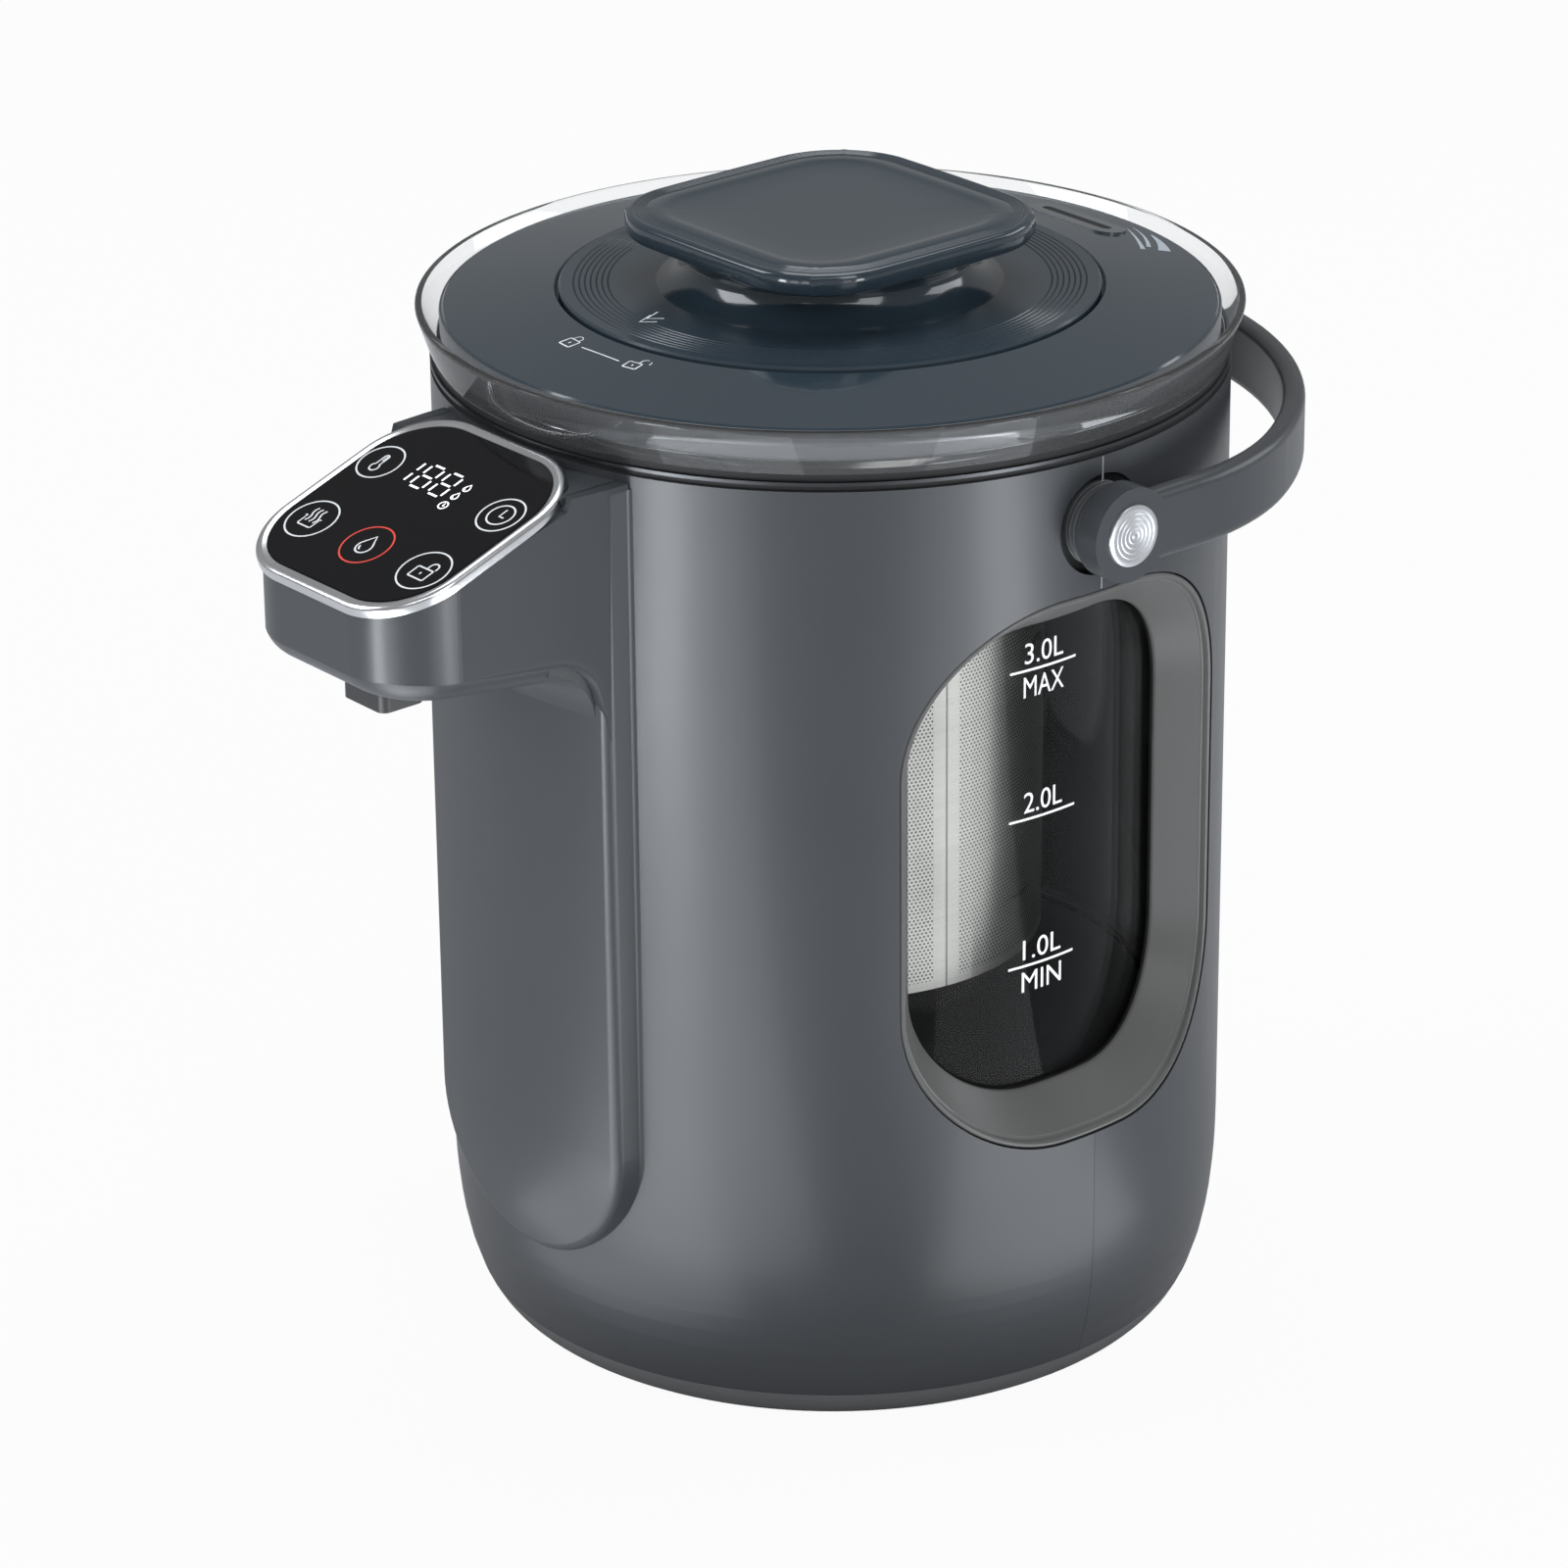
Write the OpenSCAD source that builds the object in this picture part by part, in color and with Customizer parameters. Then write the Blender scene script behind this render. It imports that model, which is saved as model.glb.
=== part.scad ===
// Electric hot water dispenser with a glass jar, tea infuser, twist cap and bail handle.
// Millimetres. The origin is on the standing surface under the jar's axis.
// +Z is up, the spout points to -Y and the handle lies back to +Y.

/* [Body] */
// Outside radius of the body
body_r = 105; // [98:0.5:125]
// Wall of the two half shells
shell_wall = 4; // [3:0.1:5]
// Height of the shells' top edge
body_top = 265.5; // [258:0.5:285]
// Height over which the foot of the body is rounded
base_round_h = 52; // [40:1:60]
// How far that rounding draws in
base_round_in = 15.4; // [10:0.2:16]
// Fullness of that rounding
base_round_n = 2.3; // [2:0.1:3]
// Height of the seam between the shells and the base cover
base_seam = 9; // [8:0.5:12]
// Thickness of the base cover's floor
base_floor_t = 3; // [2:0.1:4]
// Width of the open seams between casings
seam_gap = 0.1; // [0.1:0.05:0.4]

/* [Foot] */
// Clearance under the base cover
foot_h = 1.2; // [0.8:0.1:2]
// Inner radius of the rubber foot ring
foot_in_r = 87; // [86:0.5:87.5]
// Width of the rubber foot ring
foot_w = 5; // [3:0.5:5.5]
// Depth to which the foot ring is let in
foot_let_in = 1.2; // [0.8:0.1:1.6]

/* [Column and head] */
// How far the column's front stands out from the body
column_proud = 6.5; // [5:0.25:10]
// Half width of the column
column_half_w = 37.6; // [34:0.2:40]
// Radius of the column's bowed front
column_bow_r = 150; // [125:5:200]
// Rounding of the column's front edges
column_edge_r = 3; // [1.5:0.1:3.6]
// Fillet between column and body
column_fillet = 2; // [1:0.1:2.6]
// Height of the column's round lower end
column_bottom = 39; // [36:0.5:44]
// Half width of the head
head_half_w = 34; // [31:0.2:35]
// How far the head's front stands out from the column
head_reach = 58; // [55:0.5:62]
// Rounding of the head's corners, seen from above
head_corner_r = 19.4; // [18.8:0.2:21]
// Height of the head's underside at its front
head_under = 219; // [216:0.5:222]
// Slope of the underside, down to the column
head_under_slope = 7.5; // [5:0.25:9]
// Rounding of the underside's edges
head_under_r = 9.5; // [6:0.25:9.5]
// Fillet between underside and column
head_neck_r = 13; // [9:0.5:16]
// Wall of the head
head_wall = 3; // [2.4:0.1:3.4]

/* [Panel] */
// Tilt of the panel towards the user
panel_tilt = 20; // [16:0.5:23]
// Distance of the panel's centre from the head's front
panel_back = 30.8; // [30.2:0.1:31.6]
// Height of the panel's centre
panel_z = 255.4; // [254:0.2:258]
// Overhang of the bezel beyond the head's wall
bezel_over = 1.6; // [0.8:0.1:2]
// Half length of the bezel along the slope
bezel_half_l = 34.6; // [33:0.2:35]
// Width of the bright bezel seen round the glass
bezel_w = 2.7; // [2:0.1:3.5]
// Thickness of the panel's glass
panel_t = 1.8; // [1.2:0.1:2.2]
// Thickness of the bezel's flange under the glass
bezel_flange_t = 1; // [0.8:0.1:1.4]
// Depth of the bezel's skirt in the head
bezel_skirt = 1.7; // [1.2:0.1:2.2]
// Thickness of a circuit board
board_t = 1.6; // [1:0.1:2]

/* [Spout] */
// Width of the nozzle
nozzle_w = 17.4; // [13:0.2:19]
// Depth of the nozzle from front to back
nozzle_l = 13.6; // [12:0.2:16]
// Distance of the nozzle's axis from the head's front
nozzle_back = 20.8; // [19.6:0.2:25]
// Drop of the nozzle below the head's front underside
nozzle_drop = 11.2; // [9:0.2:15]
// Bore of the water path
water_bore_r = 2.2; // [1.8:0.1:2.6]
// Wall of a hose spigot
spigot_wall = 1; // [0.8:0.1:1.3]
// Wall of a hose
hose_wall = 1.4; // [1:0.1:1.6]
// Bend radius of the riser hose, to its middle line
hose_bend = 10; // [9:0.25:11]

/* [Window] */
// Half width of each window's opening in the shells
window_half_w = 54.5; // [48:0.5:58]
// Lowest point of the opening
window_low = 76; // [74:0.5:80]
// Highest point of the opening
window_high = 229.4; // [215:0.2:231]
// Rounding of the opening's corners
window_corner_r = 44; // [36:0.5:47]
// Width of the sloping band from the opening to the glass, seen from the side
window_band = 11.5; // [9:0.25:13]
// Overlap of the frame behind the shell
window_overlap = 3.5; // [2.5:0.25:5]
// Thickness of the frame
window_frame_t = 2; // [1.5:0.1:2.5]

/* [Jar] */
// Outside radius of the glass jar
jar_r = 88.8; // [84:0.2:89.4]
// Wall of the glass
jar_wall = 2.3; // [1.8:0.1:3]
// Height of the jar's floor
jar_floor = 80; // [78:0.5:82]
// Overhang of the jar's lip beyond the body
lip_over = 3.5; // [2:0.25:4]
// Height of the lip above its seat
lip_h = 12.3; // [11:0.1:14]
// Wall of the lip at its top edge
lip_wall = 2.8; // [2:0.1:3.5]
// Thickness of the lip's floor, which carries the lid
lip_floor_t = 3; // [2.4:0.1:3.6]
// Height of the gasket between shells and lip
gasket_h = 4.5; // [4:0.1:6]
// Height of the bright ring in the gasket
trim_h = 0.9; // [0.6:0.05:1.2]

/* [Lid and cap] */
// Clearance between the lid ring and the lip
lid_clear = 0.3; // [0.2:0.05:0.6]
// Width of the lip's clear slope outside the lid ring
lid_inset = 6.5; // [6:0.1:7.5]
// How far the lid ring's edge lies below the lip's top
lid_drop = 1.3; // [0.8:0.1:2]
// Rise of the lid ring from its edge to the cap
lid_rise = 4; // [2.5:0.1:5]
// Height of the lid's seal
lid_seal_h = 2; // [1.5:0.1:2.5]
// Radius of the twist cap
cap_r = 71; // [68:0.5:74]
// Open gap round the twist cap
cap_gap = 0.6; // [0.4:0.05:1]
// Thickness of the twist cap's disc
cap_t = 4; // [3.5:0.1:5]
// How far the disc stands above the lid ring
cap_proud = 1; // [0.5:0.1:1.5]
// Width of the ledge that the disc lies over
cap_ledge = 5; // [4:0.25:6]
// Number of rings turned in the disc
cap_rings = 7; // [0:1:9]
// Half width of the knob's square plate
knob_half = 45; // [40:0.5:50]
// Rounding of the plate's corners
knob_corner_r = 24; // [18:0.5:30]
// Height of the knob above the disc
knob_h = 18.5; // [16:0.5:22]
// Thickness of the knob's plate
knob_plate_t = 6.5; // [5:0.25:8]
// Radius of the knob's neck at its narrowest
knob_waist_r = 36; // [30:0.5:38]
// Length of the steam vent
vent_l = 34; // [28:0.5:38]
// Width of the steam vent
vent_w = 10; // [8:0.25:12]
// Width of the vent's slot
vent_slot = 3.2; // [2.4:0.1:4]
// Running clearance of pins and shafts
running_clear = 0.06; // [0.03:0.01:0.1]
// Gap between pieces that lift apart
lift_gap = 0.3; // [0.2:0.05:0.5]

/* [Infuser] */
// Outside radius of the steel infuser
infuser_r = 56.4; // [50:0.2:58]
// Wall of the infuser
infuser_wall = 0.8; // [0.5:0.1:1.2]
// Length of the infuser below its flange
infuser_len = 172; // [130:1:180]
// Thickness of the infuser's flange
flange_t = 2.5; // [2:0.1:3]
// Width of the ledge that the flange hangs on
flange_ledge = 4.6; // [3.5:0.1:5]

/* [Handle] */
// Depth of the handle's axis below the shells' top edge
pivot_drop = 18.3; // [16.5:0.1:20]
// Reach of the handle behind the axis
handle_reach = 126; // [122:0.5:140]
// Radius of the bail's rear bow
bow_r = 121; // [119.5:0.25:126]
// Least rounding of the bail's corners
handle_corner_r = 60; // [40:1:80]
// Length of the straight arms beside the pivots
arm_l = 24; // [20:0.5:28]
// Height of the strap
strap_h = 19; // [15:0.5:22]
// Thickness of the strap
strap_t = 6; // [5:0.1:6.2]
// Rounding of the strap's edges
strap_edge_r = 2.6; // [2:0.1:2.8]
// Radius of the end discs
pivot_disc_r = 12.5; // [11.5:0.25:14]
// Thickness of the end discs
pivot_disc_t = 7; // [6.6:0.1:8]
// Radius of the pivot pins
pivot_pin_r = 3; // [2.5:0.1:3.5]
// Length of the boss outside its recess
boss_l = 6.2; // [5.5:0.1:7]
// Radius of the boss
boss_r = 11; // [10:0.25:12]
// Depth of the recess round the boss
boss_recess = 2.6; // [2.2:0.1:3]
// Radius of the metal caps
handle_cap_r = 8.2; // [7:0.1:9.5]

/* [Heating and pump] */
// Radius of the heating element's ring
element_r = 58; // [50:0.5:60]
// Radius of the element's tube
element_tube_r = 4; // [3:0.1:4.5]
// Height of the cradle's ring
cradle_h = 6; // [5:0.25:8]
// Width of the cradle's seat under the heater plate
cradle_seat = 14.8; // [12:0.2:15]
// Radius of the pump's housing
pump_r = 17; // [15:0.25:18]
// Height of the pump's housing
pump_h = 16; // [14:0.5:17]
// Radius of the pump's motor
motor_r = 14; // [12:0.25:16]
// Radius of the impeller
impeller_r = 12; // [10:0.25:12.5]
// Number of the impeller's vanes
impeller_vanes = 6; // [4:1:8]

/* [Power] */
// Width of the power inlet
inlet_w = 27; // [25:0.5:30]
// Height of the power inlet
inlet_h = 20; // [18:0.5:22]
// Height of the power inlet's middle
inlet_z = 30; // [28:0.5:34]

/* [Hidden] */
$fn = 96;

// Small allowances that every fit shares
cut = 1;
fit = 0.1;
rest_gap = 0.1;

// Radius of the shells: a larger jar needs a larger body
jar_room = 9.2;
shell_r = max(body_r, jar_r + jar_room);

// Heights of the stack on top of the shells
lip_seat = body_top + gasket_h;
lip_top = lip_seat + lip_h;
lip_shelf = lip_seat + lip_floor_t;
lid_edge_z = lip_top - lid_drop;
lid_top = lid_edge_z + lid_rise;
cap_top = lid_top + cap_proud;
cap_under = cap_top - cap_t;
knob_top = cap_top + knob_h;

// Radii of the lid
lip_r = shell_r + lip_over;
lid_r = lip_r - lid_inset - lid_clear;
cap_well_r = cap_r + cap_gap;
flange_well_r = cap_well_r - cap_ledge;
mouth_r = flange_well_r - flange_ledge;
lid_slope = atan((lid_top - lid_edge_z) / (lid_r - cap_well_r));

// Heights inside the lid, from the cap's seat down
cap_seat = cap_under - lift_gap;
plug_flange_t = 2.3;
plug_top = cap_seat - lift_gap;
plug_flange_low = plug_top - plug_flange_t;
flange_top = plug_flange_low - lift_gap;
flange_low = flange_top - flange_t;
flange_seat = flange_low - lift_gap;
mouth_t = 4;
infuser_in_r = infuser_r - infuser_wall;
infuser_low = flange_low - infuser_len;
plug_r = infuser_in_r - 0.8;
plug_low = plug_flange_low - 9;
hub_r = 8;
hub_h = 8.5;

// Places of the column, head and panel
column_front = shell_r + column_proud;
head_front = column_front + head_reach;
panel_y = head_front - panel_back;
rim_drop = panel_t + bezel_flange_t;
bezel_half_w = head_half_w + bezel_over;
bezel_corner_r = head_corner_r + bezel_over;
glass_half_w = bezel_half_w - bezel_w;
glass_half_l = bezel_half_l - bezel_w - 0.8;
glass_corner_r = bezel_corner_r - bezel_w;
board_top = -(rim_drop + bezel_skirt + rest_gap);
skirt_half_w = head_half_w - head_wall - 0.3;
skirt_half_l = bezel_half_l - head_wall - 1.5;
skirt_r = head_corner_r - head_wall;
nozzle_y = head_front - nozzle_back;
column_bow_at = column_bow_r - column_front;
column_edge_x = column_half_w - column_edge_r;
column_edge_y = column_bow_at - sqrt(pow(column_bow_r - column_edge_r, 2) - pow(column_edge_x, 2));
column_face_x = column_edge_x * column_bow_r / (column_bow_r - column_edge_r);
shoulder_drop = 2;
shoulder_slope = 49;
head_spare = 0.5;
head_set_out = head_under_r * 0.13 + head_spare;
floor_at_nozzle = head_under - nozzle_back * tan(head_under_slope) + head_wall / cos(head_under_slope);

// Water path
spigot_r = water_bore_r + spigot_wall;
hose_in_r = spigot_r + 0.05;
hose_r = hose_in_r + hose_wall;
hose_clear = 1.6;
riser_y = column_front - shell_wall - hose_r - 1.8;
spigot_l = 4.5;
riser_run_z = floor_at_nozzle + spigot_l + hose_bend;

// Jar and heater
jar_in_r = jar_r - jar_wall;
seal_t = 1.5;
plate_t = 2;
plate_step = 2;
plate_low = jar_floor - plate_step - plate_t;
plate_r = jar_r + 1.5;
seal_low = plate_low + plate_t;
jar_low = seal_low + seal_t;
cradle_wall = 3;
cradle_rim = 4;
cradle_room_r = shell_r - shell_wall - rest_gap - window_frame_t - lift_gap;
cradle_rim_in_r = plate_r + lift_gap;
cradle_out_r = min(cradle_rim_in_r + cradle_wall, cradle_room_r);
cradle_in_r = plate_r - cradle_seat - 1;
cradle_low = plate_low - cradle_h;

// Base
floor_top = foot_h + base_floor_t;
foot_edge = 1.8;
foot_at = min(foot_in_r, foot_radius(foot_h) - foot_w - foot_edge);
leg_r = 7;
screw_r = 1.5;
screw_head_r = 3.4;
screw_head_h = 1.6;
screw_clear = 0.6;
leg_place = min(cradle_in_r + leg_r, foot_at - screw_head_r - screw_clear);

// Pump
pump_pad_h = 2;
motor_low = floor_top + pump_pad_h;
drain_drop = 22;
pump_low = plate_low - drain_drop - pump_h;
pump_outlet_z = pump_low + pump_h / 2;
pump_offset = pump_r - spigot_r - 3.4;
pump_outlet_l = 24;
drain_spigot_l = 10;
drain_clear = 1.7;
inlet_bore_r = 3.5;
inlet_spigot_r = inlet_bore_r + spigot_wall;
inlet_hose_in_r = inlet_spigot_r + 0.05;
drain_at = cradle_in_r - drain_clear - inlet_hose_in_r - hose_wall;
pump_room = min(sqrt(pow(drain_at, 2) - pow(pump_offset, 2)), riser_y - hose_bend - pump_outlet_l - cut);
pump_step = 0.5;
pump_y = floor(pump_room / pump_step) * pump_step;
pump_place = [-pump_offset, -pump_y];
shaft_r = 1.5;

// Handle
pivot_z = body_top - pivot_drop;
boss_seat_x = shell_r - boss_recess;
boss_end_x = boss_seat_x + boss_l;
disc_in_x = boss_end_x + 0.5;
disc_out_x = disc_in_x + pivot_disc_t;
arm_out_x = disc_out_x;
bow_y = handle_reach - bow_r;
bow_rise = arm_l - bow_y;
bow_spare = bow_r - arm_out_x;
touch_r = (pow(bow_r, 2) - pow(arm_out_x, 2) - pow(bow_rise, 2)) / (2 * bow_spare);
corner_r = bow_spare > 0 ? max(handle_corner_r, touch_r) : handle_corner_r;
corner_far = norm([arm_out_x - corner_r, bow_rise]);
corner_straight = sqrt(max(0, pow(corner_far, 2) - pow(bow_r - corner_r, 2)));
corner_a = atan2(bow_rise, arm_out_x - corner_r) + acos(min(1, (bow_r - corner_r) / corner_far));
pin_head_r = pivot_pin_r + 2;
pin_head_t = 1.5;
cap_let_in = 1.2;
cap_stand = 1;
neck_r = 6;
boss_flange_r = 10;
boss_flange_t = 2.8;
boss_neck_in_x = sqrt(pow(shell_r - shell_wall, 2) - pow(boss_flange_r, 2)) - 0.3;

// Colours
slate = [0.29, 0.31, 0.33];
dark_slate = [0.22, 0.25, 0.28];
near_black = [0.06, 0.06, 0.07];
steel = [0.75, 0.76, 0.78];
clear_glass = [0.8, 0.9, 0.95, 0.35];
silicone = [0.12, 0.12, 0.13];
pale_hose = [0.88, 0.88, 0.85];
board_green = [0.1, 0.35, 0.2];

// Radius of the rounded foot at a height
function foot_radius(z) =
    z >= base_round_h ? shell_r
    : shell_r - base_round_in
      * (1 - pow(1 - pow((base_round_h - z) / base_round_h, base_round_n), 1 / base_round_n));

// Points up the outside of the body, drawn in by an inset
function side_points(low, high, inset, steps = 12) =
    concat(
        [for (i = [0 : steps])
            let (z = low + (base_round_h - low) * (1 - pow(1 - i / steps, 2)))
            [foot_radius(z) - inset, z]],
        [[shell_r - inset, high]]
    );

// Rounded rectangle about the origin, from half sizes
module rounded(half_w, half_l, r) {
    square([2 * (half_w - r), 2 * half_l], center = true);
    square([2 * half_w, 2 * (half_l - r)], center = true);
    for (x = [-1, 1], y = [-1, 1])
        translate([x * (half_w - r), y * (half_l - r)])
            circle(r);
}

// Long round-ended slot along X
module slot(l, w) {
    square([l - w, w], center = true);
    for (x = [-1, 1])
        translate([x * (l - w) / 2, 0])
            circle(w / 2);
}

// Turns a shape drawn about Z so that it lies along +X
module along_x() {
    rotate([0, 90, 0])
        children();
}

// Sets a shape in the panel's tilted frame: X across, Y up the slope, Z out of the glass
module on_panel() {
    translate([0, -panel_y, panel_z])
        rotate([panel_tilt, 0, 0])
            children();
}

// Half of space in front of (-1) or behind (1) the seam plane
module seam_half(side) {
    size = 4 * shell_r;
    translate([-size / 2, side > 0 ? seam_gap / 2 : -size - seam_gap / 2, -cut])
        cube([size, size, 2 * body_top]);
}

// Plan of the column's bowed front face
module column_face() {
    back = shell_r - 30;
    intersection() {
        translate([0, column_bow_at])
            circle(column_bow_r, $fn = 360);
        translate([-column_face_x, -column_front - cut])
            square([2 * column_face_x, column_front + cut - back]);
    }
}

// Plan of the column's sides: rounded edges, and fillets to the body
module column_sides() {
    back = shell_r - 30;
    blend_r = shell_r - 0.15;
    reach = blend_r + column_fillet;
    at = [column_half_w + column_fillet, -sqrt(pow(reach, 2) - pow(column_half_w + column_fillet, 2))];
    touch = at * (blend_r / reach);
    translate([-column_half_w, column_edge_y])
        square([2 * column_half_w, -column_edge_y - back]);
    for (side = [-1, 1])
        translate([side * column_edge_x, column_edge_y])
            circle(column_edge_r);
    for (side = [0, 1])
        mirror([side, 0])
            difference() {
                polygon([
                    [column_half_w - cut, at[1]], at, touch * 0.97, [column_half_w - cut, touch[1] * 0.97]
                ]);
                translate(at)
                    circle(column_fillet);
            }
}

module column_plan() {
    column_face();
    column_sides();
}

// The column, with a round lower end whose face is part of a ball
module column_solid() {
    end_z = column_bottom + column_half_w;
    translate([0, 0, end_z])
        linear_extrude(body_top + lip_h - end_z)
            column_plan();
    translate([0, 0, end_z])
        rotate([90, 0, 0])
            rotate([0, 0, 180])
                rotate_extrude(angle = 180)
                    intersection() {
                        mirror([0, 1])
                            column_sides();
                        translate([0, shell_r - 30])
                            square([2 * column_half_w, head_front]);
                    }
    translate([0, 0, end_z])
        intersection() {
            translate([0, column_bow_at, 0])
                sphere(column_bow_r, $fn = 360);
            rotate([90, 0, 0])
                translate([0, 0, shell_r - 30])
                    cylinder(h = head_front, r = column_face_x);
            translate([-shell_r, -2 * shell_r, -shell_r])
                cube([2 * shell_r, 2 * shell_r, shell_r]);
        }
}

// Half of a section across the head's underside: flat, round to the wall, then leaning out a little
module head_section(reach, tall) {
    flare_a = 10;
    at = [reach - head_under_r * (1 - cos(flare_a)), head_under_r * (1 - sin(flare_a))];
    square([reach - head_under_r, tall]);
    translate([reach - head_under_r, head_under_r])
        circle(head_under_r);
    polygon([[0, at[1]], at, [at[0] + tall * tan(flare_a), at[1] + tall], [0, at[1] + tall]]);
}

// The head below its panel: upright walls crossed with an underside that is round all along its edge
module head_solid() {
    tall = lip_top - head_under + head_reach;
    back = shell_r - 30;
    corner = head_corner_r + 2 * head_spare;
    bar_half = head_half_w + head_spare - corner;
    long = head_front - back;
    intersection() {
        translate([0, 0, head_under - head_reach])
            linear_extrude(tall)
                translate([0, -(head_front + back) / 2])
                    rounded(head_half_w, (head_front - back) / 2, head_corner_r);
        translate([0, -head_front - head_set_out, head_under])
            rotate([-head_under_slope, 0, 0]) {
                for (side = [0, 1])
                    translate([(2 * side - 1) * bar_half, corner, 0])
                        rotate([0, 0, side == 1 ? 270 : 180])
                            rotate_extrude(angle = 90)
                                head_section(corner, tall);
                translate([-bar_half, corner, 0])
                    rotate([90, 0, 90])
                        linear_extrude(2 * bar_half)
                            mirror([1, 0])
                                head_section(corner, tall);
                translate([0, long, 0])
                    rotate([90, 0, 0])
                        linear_extrude(long - corner) {
                            head_section(bar_half + corner, tall);
                            mirror([1, 0])
                                head_section(bar_half + corner, tall);
                        }
            }
    }
}

// Hollow of the head, open to the column and, through the bezel's seat, to the panel
module head_hollow() {
    half = head_half_w - head_wall;
    front = head_front - head_wall;
    back = shell_r - 30;
    roof = -rim_drop - head_wall;
    pass_z = riser_run_z + hose_r + hose_clear;
    difference() {
        intersection() {
            translate([0, 0, head_under - head_reach])
                linear_extrude(lip_top + head_reach)
                    translate([0, -(front + back) / 2])
                        rounded(half, (front - back) / 2, head_corner_r - head_wall);
            translate([-head_half_w, -head_front, head_under + head_wall])
                rotate([-head_under_slope, 0, 0])
                    translate([0, -head_reach, 0])
                        cube([2 * head_half_w, 4 * head_reach, 2 * head_reach]);
            on_panel()
                translate([-shell_r, -2 * shell_r, roof - 2 * head_reach])
                    cube([2 * shell_r, 4 * shell_r, 2 * head_reach]);
        }
        // above the hose the shell's wall stays whole
        translate([0, 0, pass_z])
            cylinder(h = lip_top, r = shell_r);
    }
    on_panel()
        translate([0, 0, roof - cut])
            linear_extrude(head_wall + 2 * cut)
                rounded(skirt_half_w + rest_gap, skirt_half_l + rest_gap, skirt_r + rest_gap);
}

// Hollow of the column behind its bowed front, narrow where its lower end is round
module column_hollow() {
    half = column_half_w - shell_wall - 1;
    end_z = column_bottom + column_half_w;
    narrow = hose_r + 4;
    narrow_front = riser_y + hose_r + 0.4;
    low = pump_outlet_z - hose_r / 4;
    translate([0, 0, end_z])
        linear_extrude(head_under - end_z)
            intersection() {
                translate([0, column_bow_r - column_front])
                    circle(column_bow_r - shell_wall, $fn = 360);
                translate([-half, -column_front])
                    square([2 * half, 25]);
            }
    translate([-narrow, -narrow_front, low])
        cube([2 * narrow, 20, end_z - low + cut]);
}

// The bend in which the column's bowed front turns forward into the head's underside
module neck_bend() {
    depth = 14;
    half = head_half_w - 0.2;
    turn = 90 - head_under_slope;
    sink = 0.1;
    run = head_reach - head_neck_r * (1 - sin(head_under_slope)) + head_set_out;
    middle_z = head_under - run * tan(head_under_slope) - head_neck_r * cos(head_under_slope) + sink;
    translate([0, sink - column_front - head_neck_r, middle_z])
        rotate([90, 0, 90])
            rotate_extrude(angle = turn)
                intersection() {
                    translate([column_front + head_neck_r, 0])
                        mirror([1, -1])
                            column_plan();
                    translate([head_neck_r - cut, -half])
                        square([depth + cut, 2 * half]);
                }
}

// Openings for both windows
module window_cuts() {
    middle = (window_low + window_high) / 2;
    translate([-2 * shell_r, 0, middle])
        rotate([90, 0, 90])
            linear_extrude(4 * shell_r)
                rounded(window_half_w, (window_high - window_low) / 2, window_corner_r);
}

// Seats for the two handle bosses
module boss_seats() {
    for (side = [0, 1])
        mirror([side, 0, 0])
            translate([0, 0, pivot_z])
                along_x() {
                    cylinder(h = shell_r + 20, r = neck_r + 0.2);
                    translate([0, 0, boss_seat_x])
                        cylinder(h = 20, r = boss_r + 2.5);
                }
}

module body_outside() {
    rotate_extrude()
        polygon(concat([[0, base_seam]], side_points(base_seam, body_top, 0), [[0, body_top]]));
}

module body_inside() {
    rotate_extrude()
        polygon(concat(
            [[0, base_seam - cut]],
            [[foot_radius(base_seam) - shell_wall, base_seam - cut]],
            side_points(base_seam, body_top + cut, shell_wall),
            [[0, body_top + cut]]
        ));
}

// What is cut off the column's top, so that it slopes up to the shell's rim
module shoulder_cut() {
    span = 4 * shell_r;
    translate([-span / 2, -span / 2, body_top - 3.5])
        cube(span);
    translate([0, -shell_r, body_top - 3])
        rotate([shoulder_slope, 0, 0])
            translate([-span / 2, -span / 2, 0])
                cube(span);
}

module front_outside() {
    body_outside();
    difference() {
        column_solid();
        shoulder_cut();
    }
    difference() {
        union() {
            head_solid();
            neck_bend();
        }
        translate([-2 * shell_r, -2 * shell_r, body_top - shoulder_drop])
            cube(4 * shell_r);
    }
}

// Room for the panel: down to the shoulder beside the bezel, and down to the bezel's seat
module panel_room() {
    on_panel() {
        translate([-shell_r, -shell_r, -0.3])
            cube([2 * shell_r, 2 * shell_r - head_reach / 2, 2 * head_reach]);
        translate([0, 0, -rim_drop])
            linear_extrude(head_reach)
                rounded(bezel_half_w + 0.3, bezel_half_l + 0.3, bezel_corner_r + 0.3);
    }
}

module front_shell() {
    color(slate)
        difference() {
            intersection() {
                front_outside();
                seam_half(-1);
            }
            body_inside();
            column_hollow();
            head_hollow();
            window_cuts();
            boss_seats();
            panel_room();
            // hole for the nozzle's neck
            translate([0, -nozzle_y, head_under - nozzle_drop])
                cylinder(h = nozzle_drop + 2 * head_wall, r = spigot_r + 2);
        }
}

module rear_shell() {
    color(slate)
        difference() {
            intersection() {
                body_outside();
                seam_half(1);
            }
            body_inside();
            window_cuts();
            boss_seats();
            translate([-inlet_w / 2 - fit, shell_r - 30, inlet_z - inlet_h / 2 - fit])
                cube([inlet_w + 2 * fit, 40, inlet_h + 2 * fit]);
        }
}

// Window frame: a band swept round the opening, from behind the shell in to the glass
frame_steps = 10;
frame_out_r = shell_r - shell_wall - rest_gap;
frame_in_r = jar_r + 0.6;

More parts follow.
